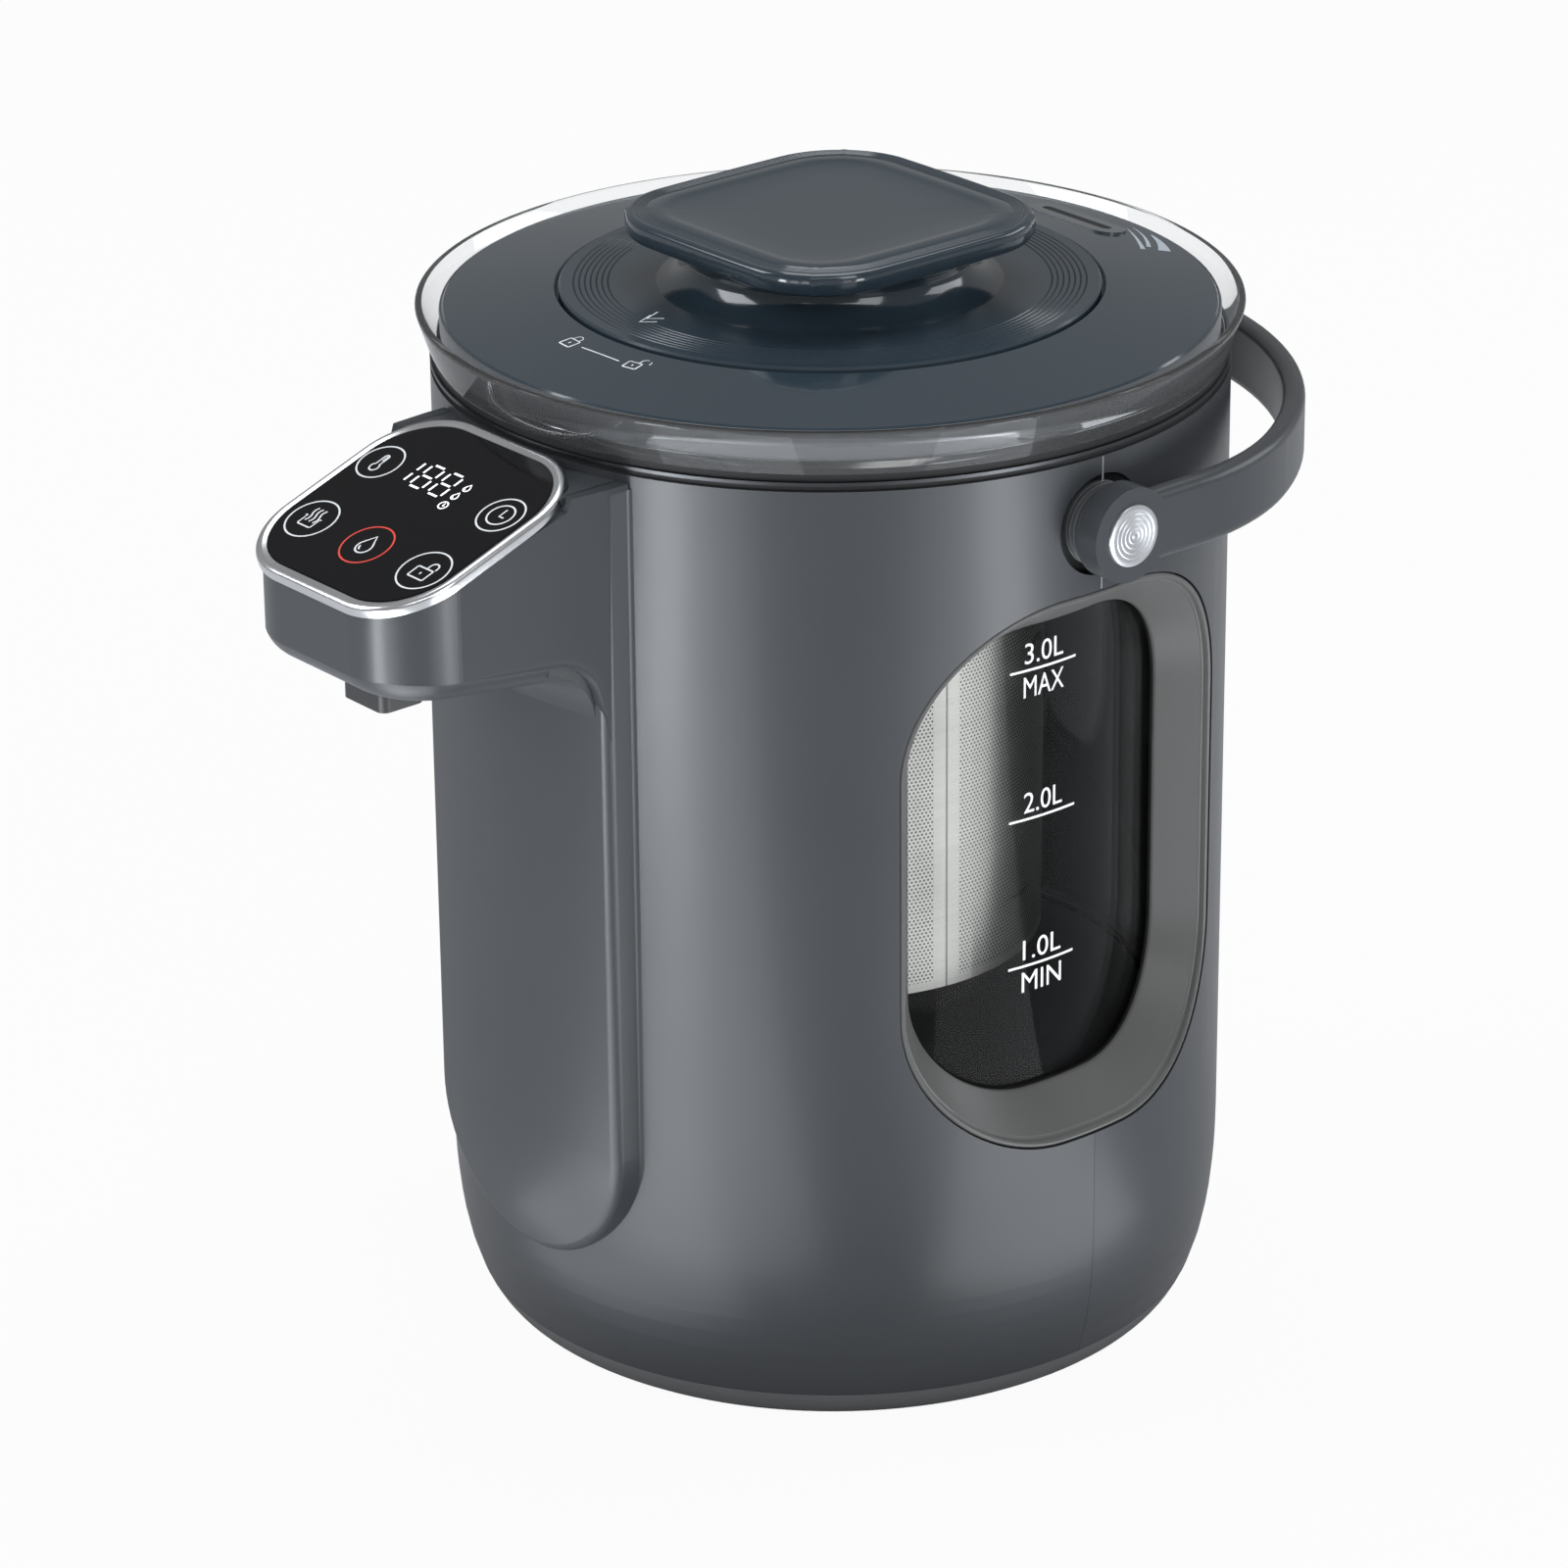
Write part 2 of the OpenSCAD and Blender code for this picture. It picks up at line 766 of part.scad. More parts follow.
// The rounded outlines that the frame's section follows: how far inside the shell's opening, and radius
frame_loops = [
    [-window_overlap, frame_out_r],
    [0, frame_out_r],
    [window_band, frame_in_r + window_frame_t * 0.6],
    [window_band, frame_in_r],
    [window_band * 0.1, frame_out_r - window_frame_t],
    [-window_overlap, frame_out_r - window_frame_t]
];

function frame_point(loop, corner, step) =
    let (
        half_w = window_half_w - loop[0],
        low = window_low + loop[0],
        high = window_high - loop[0],
        r = window_corner_r - loop[0],
        a = 90 * corner + 90 * step / frame_steps,
        y = (corner == 0 || corner == 3 ? 1 : -1) * (half_w - r) + r * cos(a),
        z = (corner < 2 ? high - r : low + r) + r * sin(a)
    )
    [sqrt(pow(loop[1], 2) - y * y), y, z];

module window_frame() {
    round = 4 * (frame_steps + 1);
    count = len(frame_loops);
    points = [for (loop = frame_loops, corner = [0 : 3], step = [0 : frame_steps])
        frame_point(loop, corner, step)];
    faces = [for (k = [0 : count - 1], i = [0 : round - 1], half = [0, 1])
        let (
            a = k * round + i,
            b = k * round + (i + 1) % round,
            c = ((k + 1) % count) * round + (i + 1) % round,
            d = ((k + 1) % count) * round + i
        )
        half == 0 ? [a, c, b] : [a, d, c]];
    polyhedron(points, faces, convexity = 6);
}

module window_frame_right() {
    color(slate)
        window_frame();
}

module window_frame_left() {
    color(slate)
        mirror([1, 0, 0])
            window_frame();
}

// Base
module base_cover() {
    rim_r = foot_radius(base_seam) - shell_wall - lift_gap;
    rim_t = 2;
    rim_h = 4;
    top = base_seam - seam_gap;
    steps = 6;
    edge = [for (i = [0 : steps])
        let (z = foot_h + (top - foot_h) * pow(i / steps, 2))
        [foot_radius(z), z]];
    color(near_black)
        difference() {
            union() {
                rotate_extrude()
                    polygon(concat(
                        [[0, foot_h]],
                        edge,
                        [[rim_r, top], [rim_r, top + rim_h], [rim_r - rim_t, top + rim_h],
                         [rim_r - rim_t, floor_top], [0, floor_top]]
                    ));
                translate([pump_place[0], pump_place[1], 0])
                    translate([0, 0, floor_top - fit])
                        cylinder(h = pump_pad_h + fit, r = motor_r + 1);
                for (x = [-1, 1], y = [-1, 1])
                    translate([x * board_post_x, board_y + y * board_post_y, floor_top - fit])
                        cylinder(h = board_stand + fit, r = 3);
            }
            rotate_extrude()
                translate([foot_at, -cut])
                    square([foot_w, foot_h + foot_let_in + cut]);
            for (a = [45 : 90 : 315])
                rotate([0, 0, a])
                    translate([leg_place, 0, 0]) {
                        cylinder(h = 2 * floor_top, r = screw_r + 0.3);
                        translate([0, 0, -cut])
                            cylinder(h = foot_h + screw_head_h + cut, r = screw_head_r + 0.3);
                    }
        }
}

module foot_ring() {
    color(silicone)
        rotate_extrude()
            translate([foot_at, 0])
                square([foot_w, foot_h + foot_let_in]);
}

module base_screws() {
    color(steel)
        for (a = [45 : 90 : 315])
            rotate([0, 0, a])
                translate([leg_place, 0, foot_h]) {
                    cylinder(h = screw_head_h, r = screw_head_r);
                    cylinder(h = 12, r = screw_r);
                }
}

// Ring and gasket between the shells and the jar's lip
trim_z = body_top + gasket_h / 3;
gasket_in_r = shell_r - 8;
gasket_step_r = shell_r - 3.6;
gasket_out_r = shell_r - 0.8;

module trim_ring() {
    color(steel)
        rotate_extrude()
            translate([gasket_step_r + fit, trim_z + 0.05])
                square([shell_r - gasket_step_r - fit, trim_h]);
}

module jar_gasket() {
    upper = trim_z + trim_h + 0.1;
    color(silicone)
        rotate_extrude()
            polygon([
                [gasket_in_r, body_top], [gasket_out_r, body_top], [gasket_out_r, trim_z],
                [gasket_step_r, trim_z], [gasket_step_r, upper], [gasket_out_r, upper],
                [gasket_out_r, lip_seat], [gasket_in_r, lip_seat]
            ]);
}

module glass_jar() {
    flare_h = 12;
    flare_mid = 0.35;
    neck_out_r = gasket_in_r - 0.5;
    shelf_r = lip_r - lid_inset;
    color(clear_glass)
        rotate_extrude()
            polygon([
                [jar_in_r, jar_low], [jar_r, jar_low], [jar_r, lip_seat - flare_h],
                [jar_r + (neck_out_r - jar_r) * flare_mid, lip_seat - flare_h / 2],
                [neck_out_r, lip_seat], [shell_r - 0.4, lip_seat],
                [lip_r, lip_top - 1], [lip_r, lip_top], [lip_r - lip_wall, lip_top],
                [shelf_r, lip_top - 3], [shelf_r, lip_shelf],
                [neck_out_r - 4, lip_shelf],
                [jar_in_r + (neck_out_r - jar_r) * flare_mid, lip_seat - flare_h / 2 + 1],
                [jar_in_r, lip_seat - flare_h + 1]
            ]);
}

// Heater under the jar
module jar_bottom_seal() {
    color(silicone)
        rotate_extrude()
            translate([jar_in_r - 0.2, seal_low])
                square([plate_r - jar_in_r + 0.2, seal_t]);
}

module heater_plate() {
    color(steel)
        difference() {
            union() {
                translate([0, 0, plate_low])
                    cylinder(h = plate_t, r = plate_r);
                translate([0, 0, plate_low + plate_t])
                    cylinder(h = plate_step, r = jar_in_r - 0.5);
                translate([pump_place[0], pump_place[1], plate_low - drain_spigot_l])
                    cylinder(h = drain_spigot_l + plate_t, r = inlet_spigot_r);
            }
            translate([pump_place[0], pump_place[1], plate_low - drain_spigot_l - cut])
                cylinder(h = drain_spigot_l + plate_t + plate_step + 2 * cut, r = inlet_bore_r);
        }
}

module jar_cradle() {
    color(dark_slate)
        difference() {
            union() {
                rotate_extrude()
                    polygon([
                        [cradle_in_r, cradle_low], [cradle_out_r, cradle_low],
                        [cradle_out_r, plate_low + cradle_rim],
                        [cradle_rim_in_r, plate_low + cradle_rim],
                        [cradle_rim_in_r, plate_low], [cradle_in_r, plate_low]
                    ]);
                for (a = [45 : 90 : 315])
                    rotate([0, 0, a])
                        translate([leg_place, 0, floor_top])
                            cylinder(h = cradle_low - floor_top + 1, r = leg_r);
            }
            for (a = [45 : 90 : 315])
                rotate([0, 0, a])
                    translate([leg_place, 0, floor_top - cut])
                        cylinder(h = 13, r = screw_r + 0.02);
        }
}

module heating_element() {
    gap_a = 60;
    leg_a = 4;
    leg_h = 12;
    drain_a = atan2(pump_place[1], pump_place[0]);
    color(steel)
        translate([0, 0, plate_low - element_tube_r - rest_gap])
            rotate([0, 0, drain_a + gap_a / 2]) {
                rotate_extrude(angle = 360 - gap_a)
                    translate([element_r, 0])
                        circle(element_tube_r);
                for (a = [leg_a, -gap_a - leg_a])
                    rotate([0, 0, a])
                        translate([element_r, 0, -leg_h])
                            cylinder(h = leg_h, r = element_tube_r * 0.7);
            }
}

module temperature_sensor() {
    color(steel)
        translate([0, 0, plate_low - 10]) {
            cylinder(h = 10, r = 6);
            translate([0, 0, -4])
                cylinder(h = 4, r = 3);
        }
}

module thermal_cutout() {
    tab = [1, 6, 10];
    color(near_black)
        translate([element_r / 2, 0, plate_low - 7]) {
            cylinder(h = 7, r = 9);
            for (x = [-1, 1])
                translate([x * 5 - tab[0] / 2, -tab[1] / 2, -tab[2]])
                    cube(tab);
        }
}

// Pump under the drain
module at_pump(z) {
    translate([pump_place[0], pump_place[1], z])
        children();
}

pump_wall = 3;

module pump_housing() {
    inlet_l = 6;
    color(dark_slate)
        difference() {
            union() {
                at_pump(pump_low)
                    cylinder(h = pump_h, r = pump_r);
                at_pump(pump_low + pump_h)
                    cylinder(h = inlet_l, r = inlet_spigot_r);
                at_pump(pump_outlet_z)
                    translate([pump_offset, 0, 0])
                        rotate([90, 0, 0])
                            cylinder(h = pump_outlet_l, r = spigot_r);
            }
            at_pump(pump_low + pump_wall)
                cylinder(h = pump_h - 2 * pump_wall, r = pump_r - pump_wall);
            at_pump(pump_low + pump_h / 2)
                cylinder(h = pump_h, r = inlet_bore_r);
            at_pump(pump_low - cut)
                cylinder(h = pump_h / 2, r = shaft_r + lift_gap);
            at_pump(pump_outlet_z)
                translate([pump_offset, 0, 0])
                    rotate([90, 0, 0])
                        cylinder(h = pump_outlet_l + cut, r = water_bore_r);
        }
}

module pump_motor() {
    color(steel)
        difference() {
            at_pump(motor_low)
                cylinder(h = pump_low - motor_low, r = motor_r);
            at_pump(pump_low - 12)
                cylinder(h = 12 + cut, r = shaft_r + running_clear);
        }
}

module pump_impeller() {
    disc_low = pump_low + pump_wall + 1;
    disc_t = 2;
    vane_h = pump_h - 2 * pump_wall - disc_t - 2;
    vane_t = 1.6;
    hub = 3;
    color(pale_hose)
        at_pump(0) {
            translate([0, 0, pump_low - 10])
                cylinder(h = 10 + disc_low - pump_low + disc_t, r = shaft_r);
            translate([0, 0, disc_low])
                cylinder(h = disc_t, r = impeller_r);
            translate([0, 0, disc_low])
                cylinder(h = disc_t + vane_h, r = hub);
            for (k = [0 : impeller_vanes - 1])
                rotate([0, 0, 360 * k / impeller_vanes])
                    translate([hub - 1, -vane_t / 2, disc_low + disc_t - fit])
                        cube([impeller_r - hub - 0.5, vane_t, vane_h + fit]);
        }
}

module inlet_hose() {
    low = pump_low + pump_h + 2;
    high = plate_low - 2;
    color(pale_hose)
        difference() {
            at_pump(low)
                cylinder(h = high - low, r = inlet_hose_in_r + hose_wall);
            at_pump(low - cut)
                cylinder(h = high - low + 2 * cut, r = inlet_hose_in_r);
        }
}

// A quarter bend in the YZ plane about X, from the start angle on
module hose_quarter(start, r) {
    rotate([90, 0, 90])
        rotate([0, 0, start])
            rotate_extrude(angle = 90)
                translate([hose_bend, 0])
                    circle(r);
}

// The riser's path as one round bar: out of the pump, up the column, along the head, down to the nozzle
module riser_bar(r, over) {
    start_y = -pump_place[1] + pump_outlet_l - 8;
    translate([0, -start_y + over, pump_outlet_z])
        rotate([90, 0, 0])
            cylinder(h = riser_y - hose_bend - start_y + over, r = r);
    translate([0, hose_bend - riser_y, pump_outlet_z + hose_bend])
        hose_quarter(180, r);
    translate([0, -riser_y, pump_outlet_z + hose_bend])
        cylinder(h = riser_run_z - pump_outlet_z - 2 * hose_bend, r = r);
    translate([0, -riser_y - hose_bend, riser_run_z - hose_bend])
        hose_quarter(0, r);
    translate([0, -riser_y - hose_bend, riser_run_z])
        rotate([90, 0, 0])
            cylinder(h = nozzle_y - riser_y - 2 * hose_bend, r = r);
    translate([0, hose_bend - nozzle_y, riser_run_z - hose_bend])
        hose_quarter(90, r);
    translate([0, -nozzle_y, riser_run_z - hose_bend - spigot_l + 0.5 - over])
        cylinder(h = spigot_l - 0.5 + over, r = r);
}

module riser_hose() {
    color(pale_hose)
        difference() {
            riser_bar(hose_r, 0);
            riser_bar(hose_in_r, cut);
        }
}

module spout_nozzle() {
    low = head_under - nozzle_drop;
    color(near_black)
        difference() {
            union() {
                intersection() {
                    translate([0, -nozzle_y, low])
                        linear_extrude(nozzle_drop)
                            rounded(nozzle_w / 2, nozzle_l / 2, 2.5);
                    translate([-nozzle_w, -head_front - head_set_out, head_under - rest_gap])
                        rotate([-head_under_slope, 0, 0])
                            translate([0, 0, -4 * nozzle_drop])
                                cube([2 * nozzle_w, 2 * head_reach, 4 * nozzle_drop]);
                }
                translate([0, -nozzle_y, low + nozzle_drop / 3])
                    cylinder(h = floor_at_nozzle - low - nozzle_drop / 3, r = spigot_r + 1.8);
                translate([0, -nozzle_y, low + nozzle_drop / 3])
                    cylinder(h = riser_run_z - hose_bend - low - nozzle_drop / 3, r = spigot_r);
            }
            translate([0, -nozzle_y, low - cut])
                cylinder(h = riser_run_z - low + cut, r = water_bore_r);
        }
}

// Panel, from the glass down
module touch_panel() {
    color(near_black)
        on_panel()
            translate([0, 0, -panel_t])
                linear_extrude(panel_t)
                    rounded(glass_half_w - fit, glass_half_l - fit, glass_corner_r - fit);
}

module panel_bezel() {
    stand = 0.3;
    ledge = 3;
    color(steel)
        on_panel() {
            translate([0, 0, -panel_t])
                linear_extrude(panel_t + stand)
                    difference() {
                        rounded(bezel_half_w, bezel_half_l, bezel_corner_r);
                        rounded(glass_half_w, glass_half_l, glass_corner_r);
                    }
            translate([0, 0, -rim_drop])
                linear_extrude(bezel_flange_t)
                    difference() {
                        rounded(bezel_half_w, bezel_half_l, bezel_corner_r);
                        rounded(glass_half_w - ledge, glass_half_l - ledge, glass_corner_r - ledge);
                    }
            translate([0, 0, -rim_drop - bezel_skirt])
                linear_extrude(bezel_skirt)
                    difference() {
                        rounded(skirt_half_w, skirt_half_l, skirt_r);
                        rounded(glass_half_w - ledge, glass_half_l - ledge, glass_corner_r - ledge);
                    }
        }
}

module display_module() {
    color(near_black)
        on_panel()
            translate([-18, 3, board_top + rest_gap])
                cube([30, 18, -board_top - panel_t - 2 * rest_gap]);
}

module control_board() {
    color(board_green)
        on_panel() {
            translate([0, 0, board_top - board_t])
                linear_extrude(board_t)
                    rounded(glass_half_w - 3, glass_half_l - 3, glass_corner_r - 3);
            translate([-20, -16, board_top - board_t - 2])
                cube([12, 12, 2]);
            translate([8, 4, board_top - board_t - 4])
                cube([14, 6, 4]);
        }
}

// Power
board_y = 45;
board_half = [40, 20];
board_post_x = board_half[0] - 5;
board_post_y = board_half[1] - 5;
board_stand = 8;

module power_board() {
    low = floor_top + board_stand;
    top = low + board_t;
    color(board_green)
        translate([0, board_y, 0]) {
            translate([-board_half[0], -board_half[1], low])
                cube([2 * board_half[0], 2 * board_half[1], board_t]);
            translate([-30, -12, top])
                cube([24, 20, 17]);
            translate([22, -6, top])
                cube([14, 18, 15]);
            for (x = [2, 14])
                translate([x, 8, top])
                    cylinder(h = 20, r = 5);
        }
}

inlet_socket = 2.5;
inlet_face_y = sqrt(pow(foot_radius(inlet_z - inlet_h / 2), 2) - pow(inlet_w / 2, 2)) - 0.3;
inlet_depth = 14;

module power_inlet() {
    inner_y = sqrt(pow(foot_radius(inlet_z - inlet_h) - shell_wall, 2) - pow(inlet_w / 2 + 3, 2)) - 0.5;
    color(near_black)
        difference() {
            union() {
                translate([-inlet_w / 2, inlet_face_y - 18, inlet_z - inlet_h / 2])
                    cube([inlet_w, 18, inlet_h]);
                translate([-inlet_w / 2 - 3, inner_y - 3, inlet_z - inlet_h / 2 - 3])
                    cube([inlet_w + 6, 3, inlet_h + 6]);
            }
            translate([-inlet_w / 2 + inlet_socket, inlet_face_y - inlet_depth,
                       inlet_z - inlet_h / 2 + inlet_socket])
                cube([inlet_w - 2 * inlet_socket, inlet_depth + cut, inlet_h - 2 * inlet_socket]);
        }
}

module inlet_pins() {
    pin = [2, 10, 4];
    color(steel)
        for (p = [[-7, -2], [7, -2], [0, 2]])
            translate([p[0] - pin[0] / 2, inlet_face_y - inlet_depth, inlet_z + p[1] - pin[2] / 2])
                cube(pin);
}

// Handle
module handle_boss() {
    groove = 0.7;
    ribs = 3;
    pitch = boss_l / (ribs + 1);
    color(dark_slate)
        translate([0, 0, pivot_z])
            along_x()
                rotate_extrude()
                    polygon(concat(
                        [[pivot_pin_r + 0.02, boss_neck_in_x - boss_flange_t],
                         [boss_flange_r, boss_neck_in_x - boss_flange_t],
                         [boss_flange_r, boss_neck_in_x], [neck_r, boss_neck_in_x],
                         [neck_r, boss_seat_x], [boss_r, boss_seat_x]],
                        [for (k = [1 : ribs], p = [[0, -0.5], [groove, -0.2], [groove, 0.2], [0, 0.5]])
                            [boss_r - p[0], boss_seat_x + k * pitch + p[1]]],
                        [[boss_r, boss_end_x], [pivot_pin_r + 0.02, boss_end_x]]
                    ));
}

module handle_boss_right() {
    handle_boss();
}

module handle_boss_left() {
    mirror([1, 0, 0])
        handle_boss();
}

pin_seat_x = disc_out_x - cap_let_in - pin_head_t - 0.5;

module pivot_pin() {
    color(steel)
        translate([0, 0, pivot_z])
            along_x() {
                translate([0, 0, boss_neck_in_x - boss_flange_t])
                    cylinder(h = pin_seat_x + rest_gap - boss_neck_in_x + boss_flange_t, r = pivot_pin_r);
                translate([0, 0, pin_seat_x + rest_gap])
                    cylinder(h = pin_head_t, r = pin_head_r);
            }
}

module pivot_pin_right() {
    pivot_pin();
}

module pivot_pin_left() {
    mirror([1, 0, 0])
        pivot_pin();
}

// Section of the strap, with its outer face at a radius
module strap_section(outer) {
    translate([outer - strap_t / 2, 0])
        rounded(strap_t / 2, strap_h / 2, strap_edge_r);
}

module handle_arm() {
    overlap_a = 0.01;
    rotate([-90, 0, 0])
        linear_extrude(arm_l)
            strap_section(arm_out_x);
    translate([arm_out_x - corner_r, arm_l, 0]) {
        rotate_extrude(angle = corner_a + overlap_a)
            strap_section(corner_r);
        if (corner_straight > overlap_a)
            rotate([-90, 0, corner_a])
                linear_extrude(corner_straight + overlap_a)
                    strap_section(corner_r);
    }
    along_x()
        translate([0, 0, disc_in_x])
            cylinder(h = pivot_disc_t, r = pivot_disc_r);
}

module handle_bail() {
    color(slate)
        translate([0, 0, pivot_z])
            difference() {
                union() {
                    handle_arm();
                    mirror([1, 0, 0])
                        handle_arm();
                    translate([0, bow_y, 0])
                        rotate([0, 0, corner_a])
                            rotate_extrude(angle = 180 - 2 * corner_a)
                                strap_section(bow_r);
                }
                for (side = [0, 1])
                    mirror([side, 0, 0])
                        along_x() {
                            translate([0, 0, disc_in_x - cut])
                                cylinder(h = pivot_disc_t, r = pivot_pin_r + running_clear);
                            translate([0, 0, pin_seat_x])
                                cylinder(h = pivot_disc_t, r = pin_head_r + 0.4);
                            translate([0, 0, disc_out_x - cap_let_in])
                                cylinder(h = pivot_disc_t, r = handle_cap_r + 0.05);
                        }
            }
}

module handle_cap() {
    rings = 5;
    face = disc_out_x + cap_stand;
    pitch = (handle_cap_r - 1.2) / rings;
    color(steel)
        translate([0, 0, pivot_z])
            along_x()
                rotate_extrude()
                    polygon(concat(
                        [[0, disc_out_x - cap_let_in], [handle_cap_r, disc_out_x - cap_let_in],
                         [handle_cap_r, face - 0.4], [handle_cap_r - 0.4, face]],
                        [for (k = [rings : -1 : 1], p = [[-0.2, 0], [-0.6, 0.25], [-1, 0]])
                            [k * pitch + p[0] + 0.6, face - p[1]]],
                        [[0, face]]
                    ));
}

module handle_cap_right() {
    handle_cap();
}

module handle_cap_left() {
    mirror([1, 0, 0])
        handle_cap();
}

// Lid ring and what is fixed to it
vent_r = (cap_well_r + lid_r) / 2 + 1;

// Sets a shape on the lid ring's sloping top, behind the cap
module on_lid_slope() {
    translate([0, vent_r, lid_top - (vent_r - cap_well_r) * tan(lid_slope)])
        rotate([-lid_slope, 0, 0])
            children();
}

lid_low = lip_shelf + lid_seal_h;
lid_mouth_low = flange_seat - mouth_t;

module lid_ring() {
    color(dark_slate)
        difference() {
            rotate_extrude()
                polygon([
                    [mouth_r, lid_mouth_low], [mouth_r + 8, lid_mouth_low],
                    [mouth_r + 18, lid_low], [lid_r, lid_low],
                    [lid_r, lid_edge_z - 0.6], [lid_r - 0.6, lid_edge_z],
                    [cap_well_r + 0.5, lid_top], [cap_well_r, lid_top - 0.5],
                    [cap_well_r, cap_seat], [flange_well_r, cap_seat],
                    [flange_well_r, flange_seat], [mouth_r, flange_seat]
                ]);
            on_lid_slope() {
                translate([0, 0, -vent_let_in])
                    linear_extrude(10)
                        slot(vent_l + 2 * fit, vent_w + 2 * fit);
                translate([0, 0, -20])
                    linear_extrude(30)
                        slot(vent_l - 8, vent_slot);
            }
        }
}

vent_let_in = 1.5;

module steam_vent_trim() {
    color(steel)
        on_lid_slope()
            translate([0, 0, -vent_let_in])
                linear_extrude(vent_let_in + 0.4)
                    difference() {
                        slot(vent_l, vent_w);
                        slot(vent_l - 8, vent_slot);
                    }
}

module lid_seal() {
    edge = 1;
    width = 8.6;
    color(silicone)
        rotate_extrude()
            translate([lid_r - edge - width, lip_shelf])
                square([width, lid_seal_h]);
}

// Infuser
module infuser_basket() {
    color(steel)
        rotate_extrude()
            polygon([
                [0, infuser_low], [infuser_r, infuser_low], [infuser_r, flange_top - 0.4],
                [infuser_in_r, flange_top - 0.4], [infuser_in_r, infuser_low + infuser_wall],
                [0, infuser_low + infuser_wall]
            ]);
}

module infuser_collar() {
    collar_in_r = infuser_r + fit;
    skirt_r = mouth_r - 1.5;
    skirt_h = 10;
    color(dark_slate)
        rotate_extrude()
            polygon([
                [collar_in_r, flange_low - skirt_h], [skirt_r, flange_low - skirt_h],
                [skirt_r, flange_low], [flange_well_r - lid_clear, flange_low],
                [flange_well_r - lid_clear, flange_top], [collar_in_r, flange_top]
            ]);
}

// Cap
seal_groove = 1.6;
seal_ring_h = 3;
seal_ring_z = plug_low + 3;
screw_hole_r = 2.5;
cap_screw_head_r = 4.5;
cap_screw_head_h = 2.5;

module cap_plug() {
    color(dark_slate)
        rotate_extrude()
            polygon([
                [screw_hole_r + running_clear, plug_low + cap_screw_head_h + 0.6],
                [cap_screw_head_r + 0.5, plug_low + cap_screw_head_h + 0.6],
                [cap_screw_head_r + 0.5, plug_low],
                [plug_r, plug_low], [plug_r, seal_ring_z],
                [plug_r - seal_groove, seal_ring_z], [plug_r - seal_groove, seal_ring_z + seal_ring_h],
                [plug_r, seal_ring_z + seal_ring_h], [plug_r, plug_flange_low],
                [flange_well_r - 2 * lid_clear, plug_flange_low],
                [flange_well_r - 2 * lid_clear, plug_top],
                [hub_r, plug_top], [hub_r, plug_top + hub_h],
                [screw_hole_r + running_clear, plug_top + hub_h]
            ]);
}

module cap_seal() {
    color(silicone)
        rotate_extrude()
            translate([plug_r - seal_groove + 0.05, seal_ring_z + 0.05])
                square([infuser_in_r - lift_gap - plug_r + seal_groove - 0.05, seal_ring_h - 0.1]);
}

ring_in_r = 58 / 71 * cap_r;
ring_out_r = 67 / 71 * cap_r;

module cap_disc() {
    groove = [0.6, 0.35];
    pitch = (ring_out_r - ring_in_r) / max(cap_rings - 1, 1);
    color(dark_slate)
        rotate_extrude()
            polygon(concat(
                [[hub_r + running_clear, cap_under], [cap_r, cap_under],
                 [cap_r, cap_top - 0.6], [cap_r - 0.6, cap_top]],
                [for (k = [cap_rings - 1 : -1 : 0], p = [[0.5, 0], [0, 1], [-0.5, 0]])
                    [ring_in_r + k * pitch + p[0] * groove[0], cap_top - p[1] * groove[1]]],
                [[hub_r + running_clear, cap_top]]
            ));
}

module knob_plate(inset, low, high) {
    translate([0, 0, low])
        linear_extrude(high - low)
            rounded(knob_half - inset, knob_half - inset, knob_corner_r - inset);
}

module cap_knob() {
    plate_low = knob_top - knob_plate_t;
    plate_mid = knob_top - knob_plate_t / 2;
    neck_h = plate_low - cap_top;
    neck_foot_r = knob_waist_r + 8;
    neck_head_r = knob_waist_r + 6;
    neck_steps = 10;
    dish_r = knob_half - 9;
    dish_d = 0.9;
    color(dark_slate)
        difference() {
            union() {
                rotate_extrude()
                    polygon(concat(
                        [[0, cap_top]],
                        [for (i = [0 : neck_steps])
                            let (
                                t = i / neck_steps,
                                flare = t < 0.5 ? neck_foot_r - knob_waist_r : neck_head_r - knob_waist_r
                            )
                            [knob_waist_r + flare * pow(abs(2 * t - 1), 2.2), cap_top + t * neck_h]],
                        [[neck_head_r, plate_low + fit], [0, plate_low + fit]]
                    ));
                knob_plate(1.4, plate_low, plate_mid);
                knob_plate(0.4, plate_low + 0.6, plate_mid);
                knob_plate(0, plate_low + 1.3, knob_top - 1.6);
                knob_plate(0.5, plate_mid, knob_top - 0.7);
                knob_plate(1.6, plate_mid, knob_top);
            }
            translate([0, 0, cap_top - cut])
                cylinder(h = plug_top + hub_h - cap_top + cut + lift_gap, r = hub_r + running_clear);
            translate([0, 0, cap_top - cut])
                cylinder(h = plug_top + hub_h + 8 - cap_top + cut, r = screw_hole_r + 0.02);
            // shallow dish in the top
            rotate_extrude()
                polygon(concat(
                    [for (i = [0 : 6])
                        let (t = i / 6)
                        [t * dish_r, knob_top - dish_d * (1 - t * t)]],
                    [[dish_r, knob_top + cut], [0, knob_top + cut]]
                ));
        }
}

module cap_screw() {
    head_low = plug_low + lift_gap;
    color(steel) {
        translate([0, 0, head_low])
            cylinder(h = cap_screw_head_h, r = cap_screw_head_r);
        translate([0, 0, head_low])
            cylinder(h = plug_top + hub_h + 7 - head_low, r = screw_hole_r);
    }
}

